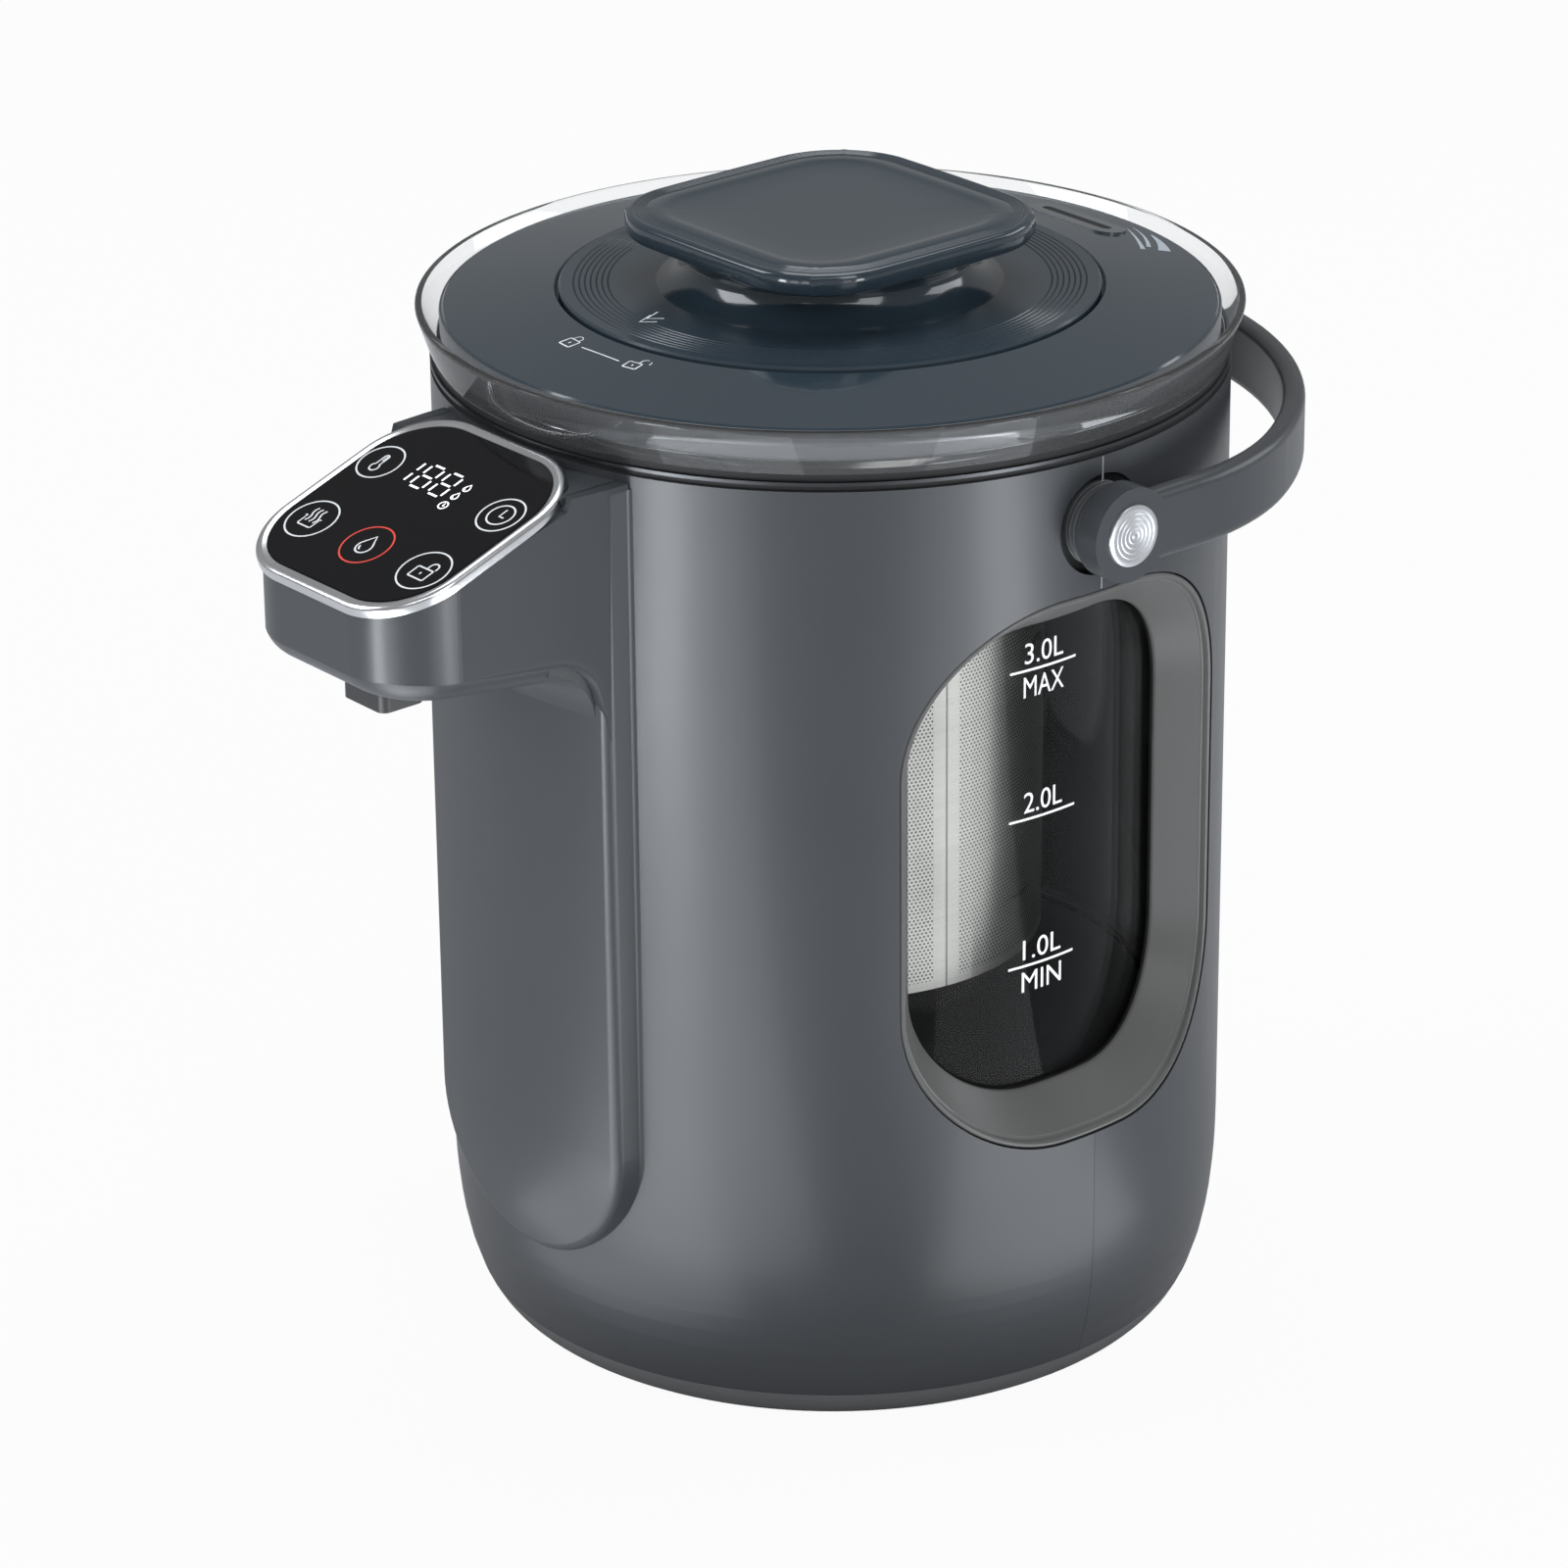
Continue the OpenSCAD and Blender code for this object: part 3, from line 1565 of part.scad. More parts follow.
front_shell();
rear_shell();
window_frame_right();
window_frame_left();
base_cover();
foot_ring();
base_screws();
trim_ring();
jar_gasket();
glass_jar();
jar_bottom_seal();
heater_plate();
jar_cradle();
heating_element();
temperature_sensor();
thermal_cutout();
pump_housing();
pump_motor();
pump_impeller();
inlet_hose();
riser_hose();
spout_nozzle();
control_board();
display_module();
touch_panel();
panel_bezel();
power_board();
power_inlet();
inlet_pins();
handle_boss_right();
handle_boss_left();
pivot_pin_right();
pivot_pin_left();
lid_ring();
lid_seal();
steam_vent_trim();
handle_bail();
handle_cap_right();
handle_cap_left();
infuser_basket();
infuser_collar();
cap_plug();
cap_seal();
cap_disc();
cap_knob();
cap_screw();
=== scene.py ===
import math
from functools import partial

import bmesh
import bpy
from mathutils import Matrix, Vector


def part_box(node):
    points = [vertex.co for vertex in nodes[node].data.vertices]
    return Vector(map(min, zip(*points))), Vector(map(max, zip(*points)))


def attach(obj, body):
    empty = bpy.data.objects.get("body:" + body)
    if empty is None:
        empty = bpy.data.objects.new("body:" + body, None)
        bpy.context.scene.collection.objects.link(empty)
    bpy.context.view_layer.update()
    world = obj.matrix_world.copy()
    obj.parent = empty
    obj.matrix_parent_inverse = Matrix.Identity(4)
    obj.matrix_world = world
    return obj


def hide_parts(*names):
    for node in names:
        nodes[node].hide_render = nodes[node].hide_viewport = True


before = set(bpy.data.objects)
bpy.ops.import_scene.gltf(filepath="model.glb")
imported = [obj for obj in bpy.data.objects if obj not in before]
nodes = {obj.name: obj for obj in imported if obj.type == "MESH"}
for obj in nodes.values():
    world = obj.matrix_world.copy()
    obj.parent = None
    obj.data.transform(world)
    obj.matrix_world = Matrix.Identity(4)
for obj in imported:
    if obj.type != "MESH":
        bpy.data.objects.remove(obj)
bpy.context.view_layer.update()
mm = 0.001
pivotHeight = 247.2  # mm, the axis of the handle
print("dispenser: frame loaded,", len(nodes), "nodes")

scene = bpy.context.scene
scene.view_settings.view_transform = "Standard"

# camera
cameraSet = {"azimuth": 50.0, "elevation": 23.308, "distance": 1.68192, "lens": 142.866, "sensor": 36.0,
             "clipEnd": 20.0, "roll": -0.009571, "aim": (-0.0085157, -0.0101486, 0.14205)}


def placeCamera(c):
    az, el = math.radians(c["azimuth"]), math.radians(c["elevation"])
    back = Vector((math.sin(az) * math.cos(el), -math.cos(az) * math.cos(el), math.sin(el)))
    level = (-back).cross(Vector((0, 0, 1))).normalized()
    upright = level.cross(-back)
    cosine, sine = math.cos(c["roll"]), math.sin(c["roll"])
    right, up = level * cosine + upright * sine, upright * cosine - level * sine
    data = bpy.data.cameras.new("studioCamera")
    data.lens = c["lens"]
    data.sensor_width = c["sensor"]
    data.clip_end = c["clipEnd"]
    cam = bpy.data.objects.new("studioCamera", data)
    scene.collection.objects.link(cam)
    place = Vector(c["aim"]) + back * c["distance"]
    cam.matrix_world = Matrix((
        (right.x, up.x, back.x, place.x),
        (right.y, up.y, back.y, place.y),
        (right.z, up.z, back.z, place.z),
        (0, 0, 0, 1)))
    scene.camera = cam


placeCamera(cameraSet)
print("dispenser: camera placed")

# nodes that the studio and the finishes share
noiseSpan = (0.3, 0.7)  # where most values of a noise texture lie
fullSpan = (0.0, 1.0)


def setOrLink(tree, socket, value):
    # a plain value is set on the socket itself, and an output is linked to it
    if isinstance(value, (int, float, tuple)):
        socket.default_value = value
    else:
        tree.links.new(value, socket)


def feed(tree, node, values):
    for label, value in values.items():
        setOrLink(tree, node.inputs[label], value)


def mathNode(tree, operation, a, b=None, clamp=False):
    node = tree.nodes.new("ShaderNodeMath")
    node.operation = operation
    node.use_clamp = clamp
    setOrLink(tree, node.inputs[0], a)
    if b is not None:
        setOrLink(tree, node.inputs[1], b)
    return node.outputs[0]


def rangeNode(tree, value, span, toSpan):
    node = tree.nodes.new("ShaderNodeMapRange")
    feed(tree, node, {"Value": value, "From Min": span[0], "From Max": span[1], "To Min": toSpan[0],
                      "To Max": toSpan[1]})
    return node.outputs["Result"]


def noiseNode(tree, coord, scale, detail, rough):
    node = tree.nodes.new("ShaderNodeTexNoise")
    feed(tree, node, {"Vector": coord, "Scale": scale, "Detail": detail, "Roughness": rough})
    return node.outputs["Fac"]


def bumpNode(tree, height, depth, strength):
    node = tree.nodes.new("ShaderNodeBump")
    feed(tree, node, {"Height": height, "Distance": depth, "Strength": strength})
    return node.outputs["Normal"]


def shadeColor(tree, color, factor):
    node = tree.nodes.new("ShaderNodeVectorMath")
    node.operation = "SCALE"
    setOrLink(tree, node.inputs[0], color)
    setOrLink(tree, node.inputs["Scale"], factor)
    return node.outputs["Vector"]


def objectCoord(tree):
    return tree.nodes.new("ShaderNodeTexCoord").outputs["Object"]


def coordParts(tree, coord):
    node = tree.nodes.new("ShaderNodeSeparateXYZ")
    tree.links.new(coord, node.inputs[0])
    return node.outputs["X"], node.outputs["Y"], node.outputs["Z"]


def reachNode(tree, a, b):
    # how far a point lies from an axis, from its two places across it
    squares = [mathNode(tree, "POWER", side, 2.0) for side in (a, b)]
    return mathNode(tree, "SQRT", mathNode(tree, "ADD", *squares))


def mixShaders(tree, share, first, second, out):
    mix = tree.nodes.new("ShaderNodeMixShader")
    for socket, source in zip(mix.inputs, (share, first.outputs[0], second.outputs[0])):
        tree.links.new(source, socket)
    tree.links.new(mix.outputs[0], out.inputs[0])


def rayShare(tree, kinds, gates):
    # 1 for rays of these kinds, and 0 for one that has left a gated kind of surface before
    path = tree.nodes.new("ShaderNodeLightPath")
    share = path.outputs[kinds[0]]
    for kind in kinds[1:]:
        share = mathNode(tree, "MAXIMUM", share, path.outputs[kind])
    for gate in gates:
        share = mathNode(tree, "MULTIPLY", share, mathNode(tree, "LESS_THAN", path.outputs[gate], 0.5))
    return share


# studio
studio = {"floorHalf": 6.0, "floorDown": 0.0003, "floorColor": (0.55, 0.55, 0.56, 1), "floorWhite": 0.95,
          "white": (1, 1, 1, 1), "ambient": 0.34, "mirror": 0.3,
          "whiteRays": ["Is Camera Ray", "Is Transmission Ray"],
          "whiteGates": ["Diffuse Depth", "Glossy Depth"],
          "mirrorRays": ["Is Glossy Ray"], "mirrorGates": ["Diffuse Depth"],
          "lampTint": (0.93, 0.965, 1.0), "lampAim": (0, 0, 0.15), "stripHeight": 0.003}
lamps = [
    {"name": "keyLeft", "at": (-1.3, -1.7, 1.5), "size": (1.2, 1.2), "power": 27},
    {"name": "fillRight", "at": (2.2, -0.3, 1.2), "size": (0.8, 1.6), "power": 15},
    {"name": "topSoft", "at": (-0.3, 0.5, 2.2), "size": (1.6, 1.6), "power": 24},
    {"name": "rearRim", "at": (0.9, 2.0, 1.0), "size": (1.6, 0.9), "power": 14},
    {"name": "edgeLight", "at": (1.35, -1.15, 1.25), "size": (1.5, 0.25), "power": 4},
]
# strips that lie on the floor: their mirror images are the two light bands on the body
strips = [
    {"name": "stripFront", "angle": -85.6, "near": 0.56, "far": 1.5, "wide": 0.16, "power": 8},
    {"name": "stripFrontMid", "angle": -85.6, "near": 0.42, "far": 0.56, "wide": 0.16, "power": 0.4},
    {"name": "stripFrontNear", "angle": -85.6, "near": 0.13, "far": 0.42, "wide": 0.14, "power": 0.2},
    {"name": "stripFrontSoft", "angle": -71.0, "near": 0.18, "far": 1.5, "wide": 0.2, "power": 2.3},
    {"name": "stripSideSoft", "angle": -10.0, "near": 0.3, "far": 1.5, "wide": 0.2, "power": 1.2},
    {"name": "stripSide", "angle": 5.6, "near": 0.5, "far": 1.5, "wide": 0.2, "power": 6},
    {"name": "stripSideNear", "angle": 5.6, "near": 0.15, "far": 0.5, "wide": 0.16, "power": 0.5},
]


def makeFloor(s):
    bm = bmesh.new()
    bmesh.ops.create_grid(bm, x_segments=1, y_segments=1, size=s["floorHalf"])
    bmesh.ops.translate(bm, vec=(0, 0, -s["floorDown"]), verts=bm.verts)
    mesh = bpy.data.meshes.new("studioFloor")
    bm.to_mesh(mesh)
    bm.free()
    floor = bpy.data.objects.new("studioFloor", mesh)
    scene.collection.objects.link(floor)
    mat = bpy.data.materials.new("paleSweep")
    mat.use_nodes = True
    tree = mat.node_tree
    tree.nodes.clear()
    out = tree.nodes.new("ShaderNodeOutputMaterial")
    matte = tree.nodes.new("ShaderNodeBsdfDiffuse")
    feed(tree, matte, {"Color": s["floorColor"]})
    glow = tree.nodes.new("ShaderNodeEmission")
    feed(tree, glow, {"Color": s["white"], "Strength": 1.0})
    share = mathNode(tree, "MULTIPLY", rayShare(tree, s["whiteRays"], s["whiteGates"]), s["floorWhite"])
    mixShaders(tree, share, matte, glow, out)
    mesh.materials.append(mat)


def makeWorld(s):
    world = bpy.data.worlds.new("studioWorld")
    scene.world = world
    world.use_nodes = True
    tree = world.node_tree
    tree.nodes.clear()
    out = tree.nodes.new("ShaderNodeOutputWorld")
    sky = tree.nodes.new("ShaderNodeBackground")
    mirrored = rayShare(tree, s["mirrorRays"], s["mirrorGates"])
    plain = rangeNode(tree, mirrored, fullSpan, (s["ambient"], s["mirror"]))
    seen = rayShare(tree, s["whiteRays"], s["whiteGates"])
    feed(tree, sky, {"Color": s["white"], "Strength": rangeNode(tree, seen, fullSpan, (plain, 1.0))})
    tree.links.new(sky.outputs[0], out.inputs[0])


def addLamp(name, size, power, at, turn):
    data = bpy.data.lights.new(name, "AREA")
    data.shape = "RECTANGLE"
    data.size, data.size_y = size
    data.energy = power
    data.color = studio["lampTint"]
    obj = bpy.data.objects.new(name, data)
    scene.collection.objects.link(obj)
    obj.location = at
    obj.rotation_euler = turn
    obj.visible_camera = False
    obj.visible_transmission = False


def makeLamp(lamp):
    turn = (Vector(studio["lampAim"]) - Vector(lamp["at"])).to_track_quat("-Z", "Y").to_euler()
    addLamp(lamp["name"], lamp["size"], lamp["power"], lamp["at"], turn)


def makeStrip(strip):
    angle = math.radians(strip["angle"])
    middle = (strip["near"] + strip["far"]) / 2
    at = (middle * math.cos(angle), middle * math.sin(angle), studio["stripHeight"])
    turn = (math.pi, 0, angle - math.pi / 2)
    addLamp(strip["name"], (strip["wide"], strip["far"] - strip["near"]), strip["power"], at, turn)


makeFloor(studio)
makeWorld(studio)
for lamp in lamps:
    makeLamp(lamp)
for strip in strips:
    makeStrip(strip)
print("dispenser: studio lit by", len(lamps) + len(strips), "lamps")

# shader node groups that several finishes share
numberSocket, vectorSocket, colorSocket = "NodeSocketFloat", "NodeSocketVector", "NodeSocketColor"


def newGroup(name, ins, outs):
    group = bpy.data.node_groups.new(name, "ShaderNodeTree")
    for label, kind, value in ins:
        socket = group.interface.new_socket(label, in_out="INPUT", socket_type=kind)
        socket.default_value = value
    for label, kind in outs:
        group.interface.new_socket(label, in_out="OUTPUT", socket_type=kind)
    return group, group.nodes.new("NodeGroupInput"), group.nodes.new("NodeGroupOutput")


skinNoise = {"fine": {"detail": 2.0, "rough": 0.6}, "broad": {"scale": 22.0, "detail": 3.0, "rough": 0.55},
             "hands": {"scale": 75.0, "detail": 4.0, "rough": 0.6}, "speck": (0.97, 1.03), "leastRough": 0.1}


def makeSkinGroup(n):
    # moulded plastic or rubber: fine grain, broad mottling and a little handling shine
    group, ins, outs = newGroup("mouldedSkin", [
        ("Color", colorSocket, (0.1, 0.1, 0.1, 1)), ("Grain Scale", numberSocket, 1400.0),
        ("Roughness", numberSocket, 0.4), ("Mottle", numberSocket, 0.06),
        ("Shine Spread", numberSocket, 0.06)],
        [("Color", colorSocket), ("Roughness", numberSocket), ("Height", numberSocket)])
    calc = partial(mathNode, group)
    coord = objectCoord(group)
    fine = noiseNode(group, coord, ins.outputs["Grain Scale"], **n["fine"])
    broad = noiseNode(group, coord, **n["broad"])
    hands = noiseNode(group, coord, **n["hands"])
    mottle, spread = ins.outputs["Mottle"], ins.outputs["Shine Spread"]
    tone = rangeNode(group, broad, noiseSpan, (calc("SUBTRACT", 1.0, mottle), calc("ADD", 1.0, mottle)))
    speck = rangeNode(group, fine, noiseSpan, n["speck"])
    shine = calc("MULTIPLY", calc("SUBTRACT", hands, 0.5), spread)
    rough = calc("ADD", ins.outputs["Roughness"], shine)
    least = calc("MULTIPLY", spread, n["leastRough"])
    feed(group, outs, {"Color": shadeColor(group, ins.outputs["Color"], calc("MULTIPLY", tone, speck)),
                       "Roughness": calc("MAXIMUM", rough, least), "Height": fine})
    return group


brushNoise = {"lines": {"scale": 1.0, "detail": 3.0, "rough": 0.6},
              "cloud": {"scale": 60.0, "detail": 3.0, "rough": 0.5}}


def makeBrushGroup(n):
    # drawn or polished metal: long streaks along one axis
    group, ins, outs = newGroup("brushedMetal", [
        ("Color", colorSocket, (0.7, 0.7, 0.7, 1)), ("Stretch", vectorSocket, (40.0, 40.0, 2600.0)),
        ("Roughness", numberSocket, 0.25), ("Streak", numberSocket, 0.08)],
        [("Color", colorSocket), ("Roughness", numberSocket), ("Height", numberSocket)])
    calc = partial(mathNode, group)
    coord = objectCoord(group)
    drawn = group.nodes.new("ShaderNodeVectorMath")
    drawn.operation = "MULTIPLY"
    group.links.new(coord, drawn.inputs[0])
    group.links.new(ins.outputs["Stretch"], drawn.inputs[1])
    lines = noiseNode(group, drawn.outputs["Vector"], **n["lines"])
    cloud = noiseNode(group, coord, **n["cloud"])
    streak = ins.outputs["Streak"]
    tone = rangeNode(group, lines, noiseSpan, (calc("SUBTRACT", 1.0, streak), 1.0))
    change = calc("MULTIPLY", calc("SUBTRACT", calc("ADD", lines, cloud), 1.0), streak)
    feed(group, outs, {"Color": shadeColor(group, ins.outputs["Color"], tone),
                       "Roughness": calc("ADD", ins.outputs["Roughness"], change), "Height": lines})
    return group


ringNoise = {"scale": 900.0, "detail": 2.0, "rough": 0.5}


def makeRingGroup(n):
    # turned rings about an axis along X through a given height
    group, ins, outs = newGroup("turnedRings", [
        ("Axis Height", numberSocket, pivotHeight * mm), ("Pitch", numberSocket, 0.0007),
        ("Tone", numberSocket, 0.2)],
        [("Shade", numberSocket), ("Height", numberSocket)])
    calc = partial(mathNode, group)
    coord = objectCoord(group)
    y, z = coordParts(group, coord)[1:]
    far = reachNode(group, calc("SUBTRACT", z, ins.outputs["Axis Height"]), y)
    turns = calc("DIVIDE", far, ins.outputs["Pitch"])
    wave = calc("SINE", calc("MULTIPLY", turns, 2 * math.pi))
    ridge = calc("ADD", calc("MULTIPLY", wave, 0.5), noiseNode(group, coord, **n))
    low = calc("SUBTRACT", 1.0, ins.outputs["Tone"])
    feed(group, outs, {"Shade": rangeNode(group, ridge, fullSpan, (low, 1.0)), "Height": ridge})
    return group


holeRows = {"rowShare": 0.866, "edge": 0.03}


def makeHoleGroup(h):
    # staggered round holes wrapped round the Z axis; 1 where there is a hole
    group, ins, outs = newGroup("punchedHoles", [
        ("Radius", numberSocket, 0.0564), ("Pitch", numberSocket, 0.0021),
        ("Hole Share", numberSocket, 0.27)], [("Hole", numberSocket)])
    calc = partial(mathNode, group)
    x, y, z = coordParts(group, objectCoord(group))
    pitch = ins.outputs["Pitch"]
    girth = calc("MULTIPLY", ins.outputs["Radius"], 2 * math.pi)
    count = calc("ROUND", calc("DIVIDE", girth, pitch))
    across = calc("MULTIPLY", calc("DIVIDE", calc("ARCTAN2", y, x), 2 * math.pi), count)
    rows = calc("DIVIDE", z, calc("MULTIPLY", pitch, h["rowShare"]))
    stagger = calc("MULTIPLY", calc("FLOORED_MODULO", calc("FLOOR", rows), 2.0), 0.5)
    u = calc("SUBTRACT", calc("FRACT", calc("ADD", across, stagger)), 0.5)
    v = calc("MULTIPLY", calc("SUBTRACT", calc("FRACT", rows), 0.5), h["rowShare"])
    gap = calc("SUBTRACT", ins.outputs["Hole Share"], reachNode(group, u, v))
    hole = calc("MULTIPLY", calc("ADD", gap, h["edge"]), 1 / (2 * h["edge"]), clamp=True)
    feed(group, outs, {"Hole": hole})
    return group


skinGroup = makeSkinGroup(skinNoise)
brushGroup = makeBrushGroup(brushNoise)
ringGroup = makeRingGroup(ringNoise)
holeGroup = makeHoleGroup(holeRows)
print("dispenser: shared shader groups made")


# finishes
def newFinish(name):
    mat = bpy.data.materials.new(name)
    mat.use_nodes = True
    tree = mat.node_tree
    tree.nodes.clear()
    out = tree.nodes.new("ShaderNodeOutputMaterial")
    shader = tree.nodes.new("ShaderNodeBsdfPrincipled")
    tree.links.new(shader.outputs[0], out.inputs[0])
    return mat, tree, shader


def placeGroup(tree, group, values):
    node = tree.nodes.new("ShaderNodeGroup")
    node.node_tree = group
    feed(tree, node, values)
    return node


def skinNodes(name, color, rough, grain=1400.0, mottle=0.05, spread=0.06, depth=0.00002, coat=0.0,
              coatRough=0.05, specular=0.5, strength=0.25):
    mat, tree, shader = newFinish(name)
    skin = placeGroup(tree, skinGroup, {"Color": (*color, 1), "Grain Scale": grain, "Roughness": rough,
                                        "Mottle": mottle, "Shine Spread": spread})
    feed(tree, shader, {"Base Color": skin.outputs["Color"], "Roughness": skin.outputs["Roughness"],
                        "Normal": bumpNode(tree, skin.outputs["Height"], depth, strength),
                        "Coat Weight": coat, "Coat Roughness": coatRough, "Specular IOR Level": specular})
    return mat, tree, shader, skin


def skinFinish(name, color, rough, **look):
    return skinNodes(name, color, rough, **look)[0]


def shellFinish(name, look, inside):
    # satin skin outside; on the inside wall the colour is darkened as painted shade, and the coat and gloss
    # are taken off
    mat, tree, shader, skin = skinNodes(name, **look)
    x, y, z = coordParts(tree, objectCoord(tree))
    foot = mathNode(tree, "LESS_THAN", z, inside["from"])
    far = mathNode(tree, "ADD", reachNode(tree, x, y), foot)
    edge = (inside["radius"] - inside["blend"], inside["radius"] + inside["blend"])
    tone = rangeNode(tree, far, edge, (inside["share"], 1.0))
    feed(tree, shader, {"Base Color": shadeColor(tree, skin.outputs["Color"], tone),
                        "Coat Weight": mathNode(tree, "MULTIPLY", tone, look["coat"]),
                        "Roughness": rangeNode(tree, tone, fullSpan, (1.0, skin.outputs["Roughness"]))})
    return mat


def brushFinish(name, color, rough, stretch, streak=0.1, depth=0.00001, strength=0.2):
    mat, tree, shader = newFinish(name)
    brush = placeGroup(tree, brushGroup, {"Color": (*color, 1), "Stretch": stretch, "Roughness": rough,
                                          "Streak": streak})
    feed(tree, shader, {"Base Color": brush.outputs["Color"], "Roughness": brush.outputs["Roughness"],
                        "Normal": bumpNode(tree, brush.outputs["Height"], depth, strength), "Metallic": 1.0})
    return mat


turned = {"pitch": 0.00013, "tone": 0.12, "shadeSpan": (0.6, 1.0), "roughMore": 0.1, "depth": 0.00001,
          "strength": 0.3}


def ringFinish(name, color, rough, t):
    mat, tree, shader = newFinish(name)
    ring = placeGroup(tree, ringGroup, {"Axis Height": pivotHeight * mm, "Pitch": t["pitch"],
                                        "Tone": t["tone"]})
    shade = ring.outputs["Shade"]
    feed(tree, shader, {"Base Color": shadeColor(tree, color, shade), "Metallic": 1.0,
                        "Roughness": rangeNode(tree, shade, t["shadeSpan"], (rough + t["roughMore"], rough)),
                        "Normal": bumpNode(tree, ring.outputs["Height"], t["depth"], t["strength"])})
    return mat


glass = {"film": {"scale": 45.0, "detail": 4.0, "rough": 0.6}, "filmSpan": (0.35, 0.75), "filmRough": 0.035,
         "wave": {"scale": 30.0, "detail": 1.0, "rough": 0.4}, "waveDepth": 0.0001, "waveStrength": 0.05,
         "shadowShare": 0.96}


def glassFinish(name, tint, ior, clearShare=1.0):
    # glass with a thin film on it; shadow rays pass straight through
    mat, tree, shader = newFinish(name)
    coord = objectCoord(tree)
    film = noiseNode(tree, coord, **glass["film"])
    wave = noiseNode(tree, coord, **glass["wave"])
    feed(tree, shader, {"Base Color": (*tint, 1), "Transmission Weight": clearShare, "IOR": ior,
                        "Roughness": rangeNode(tree, film, glass["filmSpan"], (0.0, glass["filmRough"])),
                        "Normal": bumpNode(tree, wave, glass["waveDepth"], glass["waveStrength"])})
    out = shader.outputs[0].links[0].to_node
    clear = tree.nodes.new("ShaderNodeBsdfTransparent")
    feed(tree, clear, {"Color": (*[c * glass["shadowShare"] for c in tint], 1)})
    path = tree.nodes.new("ShaderNodeLightPath")
    mixShaders(tree, path.outputs["Is Shadow Ray"], shader, clear, out)
    return mat


glowSkin = {"Grain Scale": 900.0, "Roughness": 0.5, "Shine Spread": 0.05}


def glowFinish(name, color, glow, mottle=0.06):
    # print that glows with an emission of its own, a little uneven; on the lid's prints this glow is painted
    # light
    mat, tree, shader = newFinish(name)
    skin = placeGroup(tree, skinGroup, {"Color": (*color, 1), "Mottle": mottle, **glowSkin})
    feed(tree, shader, {"Base Color": skin.outputs["Color"], "Emission Color": skin.outputs["Color"],
                        "Roughness": skin.outputs["Roughness"], "Emission Strength": glow})
    return mat


strainer = {"color": (0.94, 0.915, 0.86), "rough": 0.3, "stretch": (30.0, 30.0, 900.0), "streak": 0.08,
            "radius": 0.0564, "pitch": 0.00118, "hole": 0.24, "holeShade": 0.92, "low": 0.1068, "high": 0.262,
            "weldAt": -0.152, "weldHalf": 0.071, "seamHalf": 0.006, "seamDark": 0.55, "depth": 0.00002,
            "strength": 0.2}


def strainerFinish(s):
    # punched sheet with a bare strip along its weld; its holes are drawn as dark dots, painted shade of the
    # dark inside seen through them
    mat, tree, shader = newFinish("punchedSteel")
    brush = placeGroup(tree, brushGroup, {"Color": (*s["color"], 1), "Stretch": s["stretch"],
                                          "Roughness": s["rough"], "Streak": s["streak"]})
    holes = placeGroup(tree, holeGroup, {"Radius": s["radius"], "Pitch": s["pitch"], "Hole Share": s["hole"]})
    calc = partial(mathNode, tree)
    x, y, z = coordParts(tree, objectCoord(tree))
    offWeld = calc("ABSOLUTE", calc("SUBTRACT", calc("ARCTAN2", y, x), s["weldAt"]))
    rows = calc("MULTIPLY", calc("GREATER_THAN", z, s["low"]), calc("LESS_THAN", z, s["high"]))
    punched = calc("MULTIPLY", rows, calc("GREATER_THAN", offWeld, s["weldHalf"]))
    hole = calc("MULTIPLY", holes.outputs["Hole"], punched)
    seam = calc("LESS_THAN", offWeld, s["seamHalf"])
    seamTone = calc("SUBTRACT", 1.0, calc("MULTIPLY", seam, s["seamDark"]))
    # the holes darkened: painted shade of the inside seen through them
    holeShadeTone = calc("SUBTRACT", 1.0, calc("MULTIPLY", hole, s["holeShade"]))
    tone = calc("MULTIPLY", seamTone, holeShadeTone)
    feed(tree, shader, {"Base Color": shadeColor(tree, brush.outputs["Color"], tone), "Metallic": 1.0,
                        "Roughness": brush.outputs["Roughness"],
                        "Normal": bumpNode(tree, brush.outputs["Height"], s["depth"], s["strength"])})
    return mat


board = {"scale": 260.0, "trackWide": 0.012, "mask": (0.012, 0.07, 0.03, 1),
         "maskToo": (0.015, 0.085, 0.036, 1), "track": (0.05, 0.2, 0.08, 1), "rough": (0.4, 0.28),
         "depth": 0.00003, "strength": 0.4}


def boardFinish(b):
    # green board with copper tracks under the mask
    mat, tree, shader = newFinish("circuitBoard")
    tracks = tree.nodes.new("ShaderNodeTexBrick")
    feed(tree, tracks, {"Vector": objectCoord(tree), "Scale": b["scale"], "Mortar Size": b["trackWide"],
                        "Color1": b["mask"], "Color2": b["maskToo"], "Mortar": b["track"]})
    share = tracks.outputs["Fac"]
    feed(tree, shader, {"Base Color": tracks.outputs["Color"],
                        "Roughness": rangeNode(tree, share, fullSpan, b["rough"]),
                        "Normal": bumpNode(tree, share, b["depth"], b["strength"])})
    return mat


bodySkin = {"color": (0.037, 0.04, 0.0445), "rough": 0.36, "grain": 1500.0, "mottle": 0.03, "spread": 0.05,
            "coat": 0.12, "coatRough": 0.2, "specular": 0.42}
# where the shell's inside wall begins, and the share of its colour left there as painted shade
shellInsideShade = {"radius": 0.103, "blend": 0.0005, "from": 0.03, "share": 0.06}
slateColor = (0.022, 0.035, 0.047)
slateSkin = {"grain": 900.0, "mottle": 0.03, "spread": 0.04, "depth": 0.000006, "strength": 0.06}
clearTint = (0.985, 0.992, 0.99)
evenStretch = (60.0, 60.0, 60.0)

